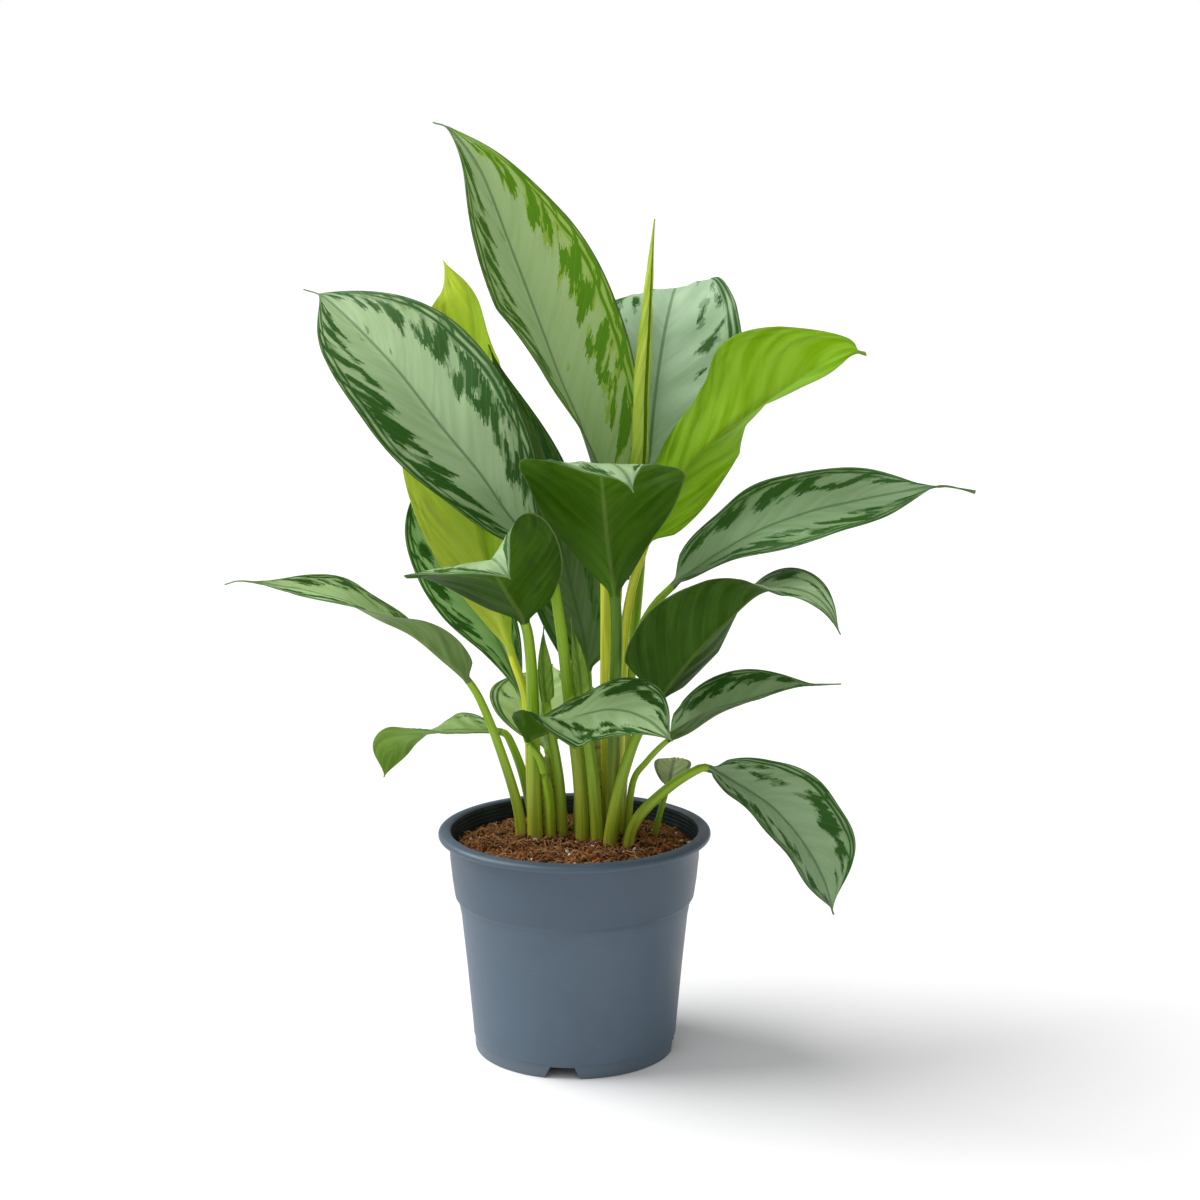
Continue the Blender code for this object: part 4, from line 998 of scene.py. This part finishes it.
def build_soil():
    points, faces = [(0.0, 0.0, float(soil_height(0.0, 0.0)))], []
    turns = full_turn(SOIL_ROUND)
    for k in range(1, SOIL_RINGS + 1):
        radius = SOIL_RADIUS * k / SOIL_RINGS
        x, y = radius * np.cos(turns), radius * np.sin(turns)
        points += list(zip(x, y, soil_height(x, y)))
    for radius, height in SOIL_SIDE:
        points += [(radius * math.cos(turn), radius * math.sin(turn), height) for turn in turns]
    rings = SOIL_RINGS + len(SOIL_SIDE)
    for i in range(SOIL_ROUND):
        faces.append((0, 1 + i, 1 + (i + 1) % SOIL_ROUND))
    for k in range(rings - 1):
        for i in range(SOIL_ROUND):
            a, b = 1 + k * SOIL_ROUND + i, 1 + k * SOIL_ROUND + (i + 1) % SOIL_ROUND
            faces.append((a, a + SOIL_ROUND, b + SOIL_ROUND, b))
    faces.append(tuple(1 + (rings - 1) * SOIL_ROUND + i for i in range(SOIL_ROUND - 1, -1, -1)))
    keep_in_place(new_piece("soil_bed", points, faces, (soil_material(),)), "soil")


def ball(steps):
    """Points and faces of a round grain of radius 1: an icosahedron, split finer by each step past 1."""
    mesh = bpy.data.meshes.new("ball")
    work = bmesh.new()
    bmesh.ops.create_icosphere(work, subdivisions=steps, radius=1.0)
    work.to_mesh(mesh)
    work.free()
    points = np.array([v.co for v in mesh.vertices])
    faces = np.array([tuple(p.vertices) for p in mesh.polygons])
    bpy.data.meshes.remove(mesh)
    return points, faces


def random_turns(random, count):
    """Random rotation matrices, from unit quaternions."""
    w, x, y, z = np.moveaxis(random.normal(size=(count, 4)), 1, 0)
    size = np.sqrt(w * w + x * x + y * y + z * z)
    w, x, y, z = w / size, x / size, y / size, z / size
    return np.stack([
        np.stack([1 - 2 * (y * y + z * z), 2 * (x * y - w * z), 2 * (x * z + w * y)], 1),
        np.stack([2 * (x * y + w * z), 1 - 2 * (x * x + z * z), 2 * (y * z - w * x)], 1),
        np.stack([2 * (x * z - w * y), 2 * (y * z + w * x), 1 - 2 * (x * x + y * y)], 1)], 1)


def scattered(random, count, most_radius):
    """Random places on the soil, as (x, y)."""
    radius = most_radius * np.sqrt(random.uniform(0.0, 1.0, count))
    turn = random.uniform(0.0, 2 * math.pi, count)
    return radius * np.cos(turn), radius * np.sin(turn)


def build_grains(one):
    """Many loose grains on the soil as one mesh, each with its own size, shape, turn and tone."""
    random, count = np.random.default_rng(one.seed), one.count
    base, base_faces = ball(one.splits)
    x, y = scattered(random, count, GRAINS_TO)
    size = random.uniform(*one.sizes, count) * random.uniform(0.6, 1.0, count)
    length = size * random.uniform(0.8, 1.5, count)
    stretch = np.stack([length, size, size * random.uniform(*one.flatness, count)], 1)
    shapes = base[None] * (1 + one.rough * random.uniform(-1, 1, (count, len(base), 1)))
    shapes = np.einsum("nij,npj->npi", random_turns(random, count), shapes * stretch[:, None, :])
    centres = np.stack([x, y, soil_height(x, y) + size * random.uniform(-0.1, 0.5, count)], 1)
    points = (shapes + centres[:, None, :]).reshape(-1, 3)
    faces = (base_faces[None] + np.arange(count)[:, None, None] * len(base)).reshape(-1, 3)
    tones = np.repeat(random.uniform(0, 1, count), len(base))
    material = grain_material(one.material, one.dark, one.pale)
    piece = new_piece(one.name, points, faces.tolist(), (material,),
                      maps={"tone": np.column_stack([tones, tones])}, smooth=one.splits > 1)
    keep_in_place(piece, None)


def build_fibres():
    """Thin coir fibres that lie on the soil or stand a little out of it."""
    random = np.random.default_rng(FIBRE_SEED)
    x, y = scattered(random, FIBRE_COUNT, FIBRES_FROM)
    points, faces, tones = [], [], []
    for place in np.column_stack([x, y]):
        length, heading = random.uniform(*FIBRE_LENGTH), random.uniform(0, 2 * math.pi)
        bend, lift = random.uniform(-FIBRE_BEND, FIBRE_BEND), random.uniform(0.0, FIBRE_LIFT)
        thick, tone = random.uniform(*FIBRE_THICK), random.uniform(0, 1)
        faces += tube_faces(FIBRE_RINGS + 1, FIBRE_ROUND, len(points))
        for k in range(FIBRE_RINGS + 1):
            share = k / FIBRE_RINGS
            turn = heading + bend * share
            ahead = np.array((math.cos(turn), math.sin(turn)))
            if np.hypot(*(place + ahead * length / FIBRE_RINGS)) < FIBRES_TO:
                place = place + ahead * length / FIBRE_RINGS
            high = float(soil_height(*place)) + 0.3 + lift * math.sin(math.pi * share)
            for a in full_turn(FIBRE_ROUND):
                sideways = thick * (1 - 0.6 * share) * math.cos(a)
                points.append((place[0] - ahead[1] * sideways, place[1] + ahead[0] * sideways,
                               high + thick * math.sin(a)))
                tones.append(tone)
    material = grain_material("coir_fibres", FIBRE_DARK, FIBRE_PALE)
    piece = new_piece("soil_fibres", points, faces, (material,),
                      maps={"tone": np.column_stack([tones, tones])})
    keep_in_place(piece, None)


# ---- studio
def build_floor():
    corners = [(x * FLOOR_HALF, y * FLOOR_HALF, 0.0) for x, y in ((-1, -1), (1, -1), (1, 1), (-1, 1))]
    floor = new_piece("studio_floor", corners, [(0, 1, 2, 3)], (floor_material(),))


def build_sun(name, source, spread, power):
    """Light from one direction that falls the same everywhere, with shadows as soft as its spread."""
    lamp = bpy.data.lights.new(name, "SUN")
    lamp.energy = power
    lamp.angle = math.radians(spread)
    holder = put_in_scene(name, lamp)
    holder.rotation_euler = Vector(source).to_track_quat("Z", "Y").to_euler()


def build_world():
    """A white sky: dimmer as a light than as the backdrop that the camera sees."""
    world = bpy.data.worlds.new("studio")
    world.use_nodes = True
    tree = world.node_tree
    background = tree.nodes["Background"]
    background.inputs["Color"].default_value = (1.0, 1.0, 1.0, 1.0)
    seen = tree.nodes.new("ShaderNodeLightPath")
    strength = tree.nodes.new("ShaderNodeMix")
    strength.inputs[2].default_value = SKY
    strength.inputs[3].default_value = SKY_SEEN
    tree.links.new(seen.outputs["Is Camera Ray"], strength.inputs[0])
    tree.links.new(strength.outputs[0], background.inputs["Strength"])
    bpy.context.scene.world = world


def build_studio():
    build_floor()
    build_sun("key", KEY_FROM, KEY_SPREAD, KEY_POWER)
    build_sun("front", FRONT_FROM, FRONT_SPREAD, FRONT_POWER)
    build_world()
    bpy.context.scene.view_settings.view_transform = "Standard"


def build_camera():
    camera = bpy.data.cameras.new("camera")
    camera.lens = CAMERA_LENS
    camera.sensor_width = CAMERA_SENSOR
    holder = put_in_scene("camera", camera)
    holder.location = np.array(CAMERA_PLACE) + AXIS
    holder.rotation_euler = (math.radians(90.0 - CAMERA_DOWN), 0.0, 0.0)
    bpy.context.scene.camera = holder


build_camera()
build_studio()
build_pot()
build_soil()
for one in GRAINS:
    build_grains(one)
build_fibres()
build_canes()
for one in LEAVES:
    build_leaf(one)
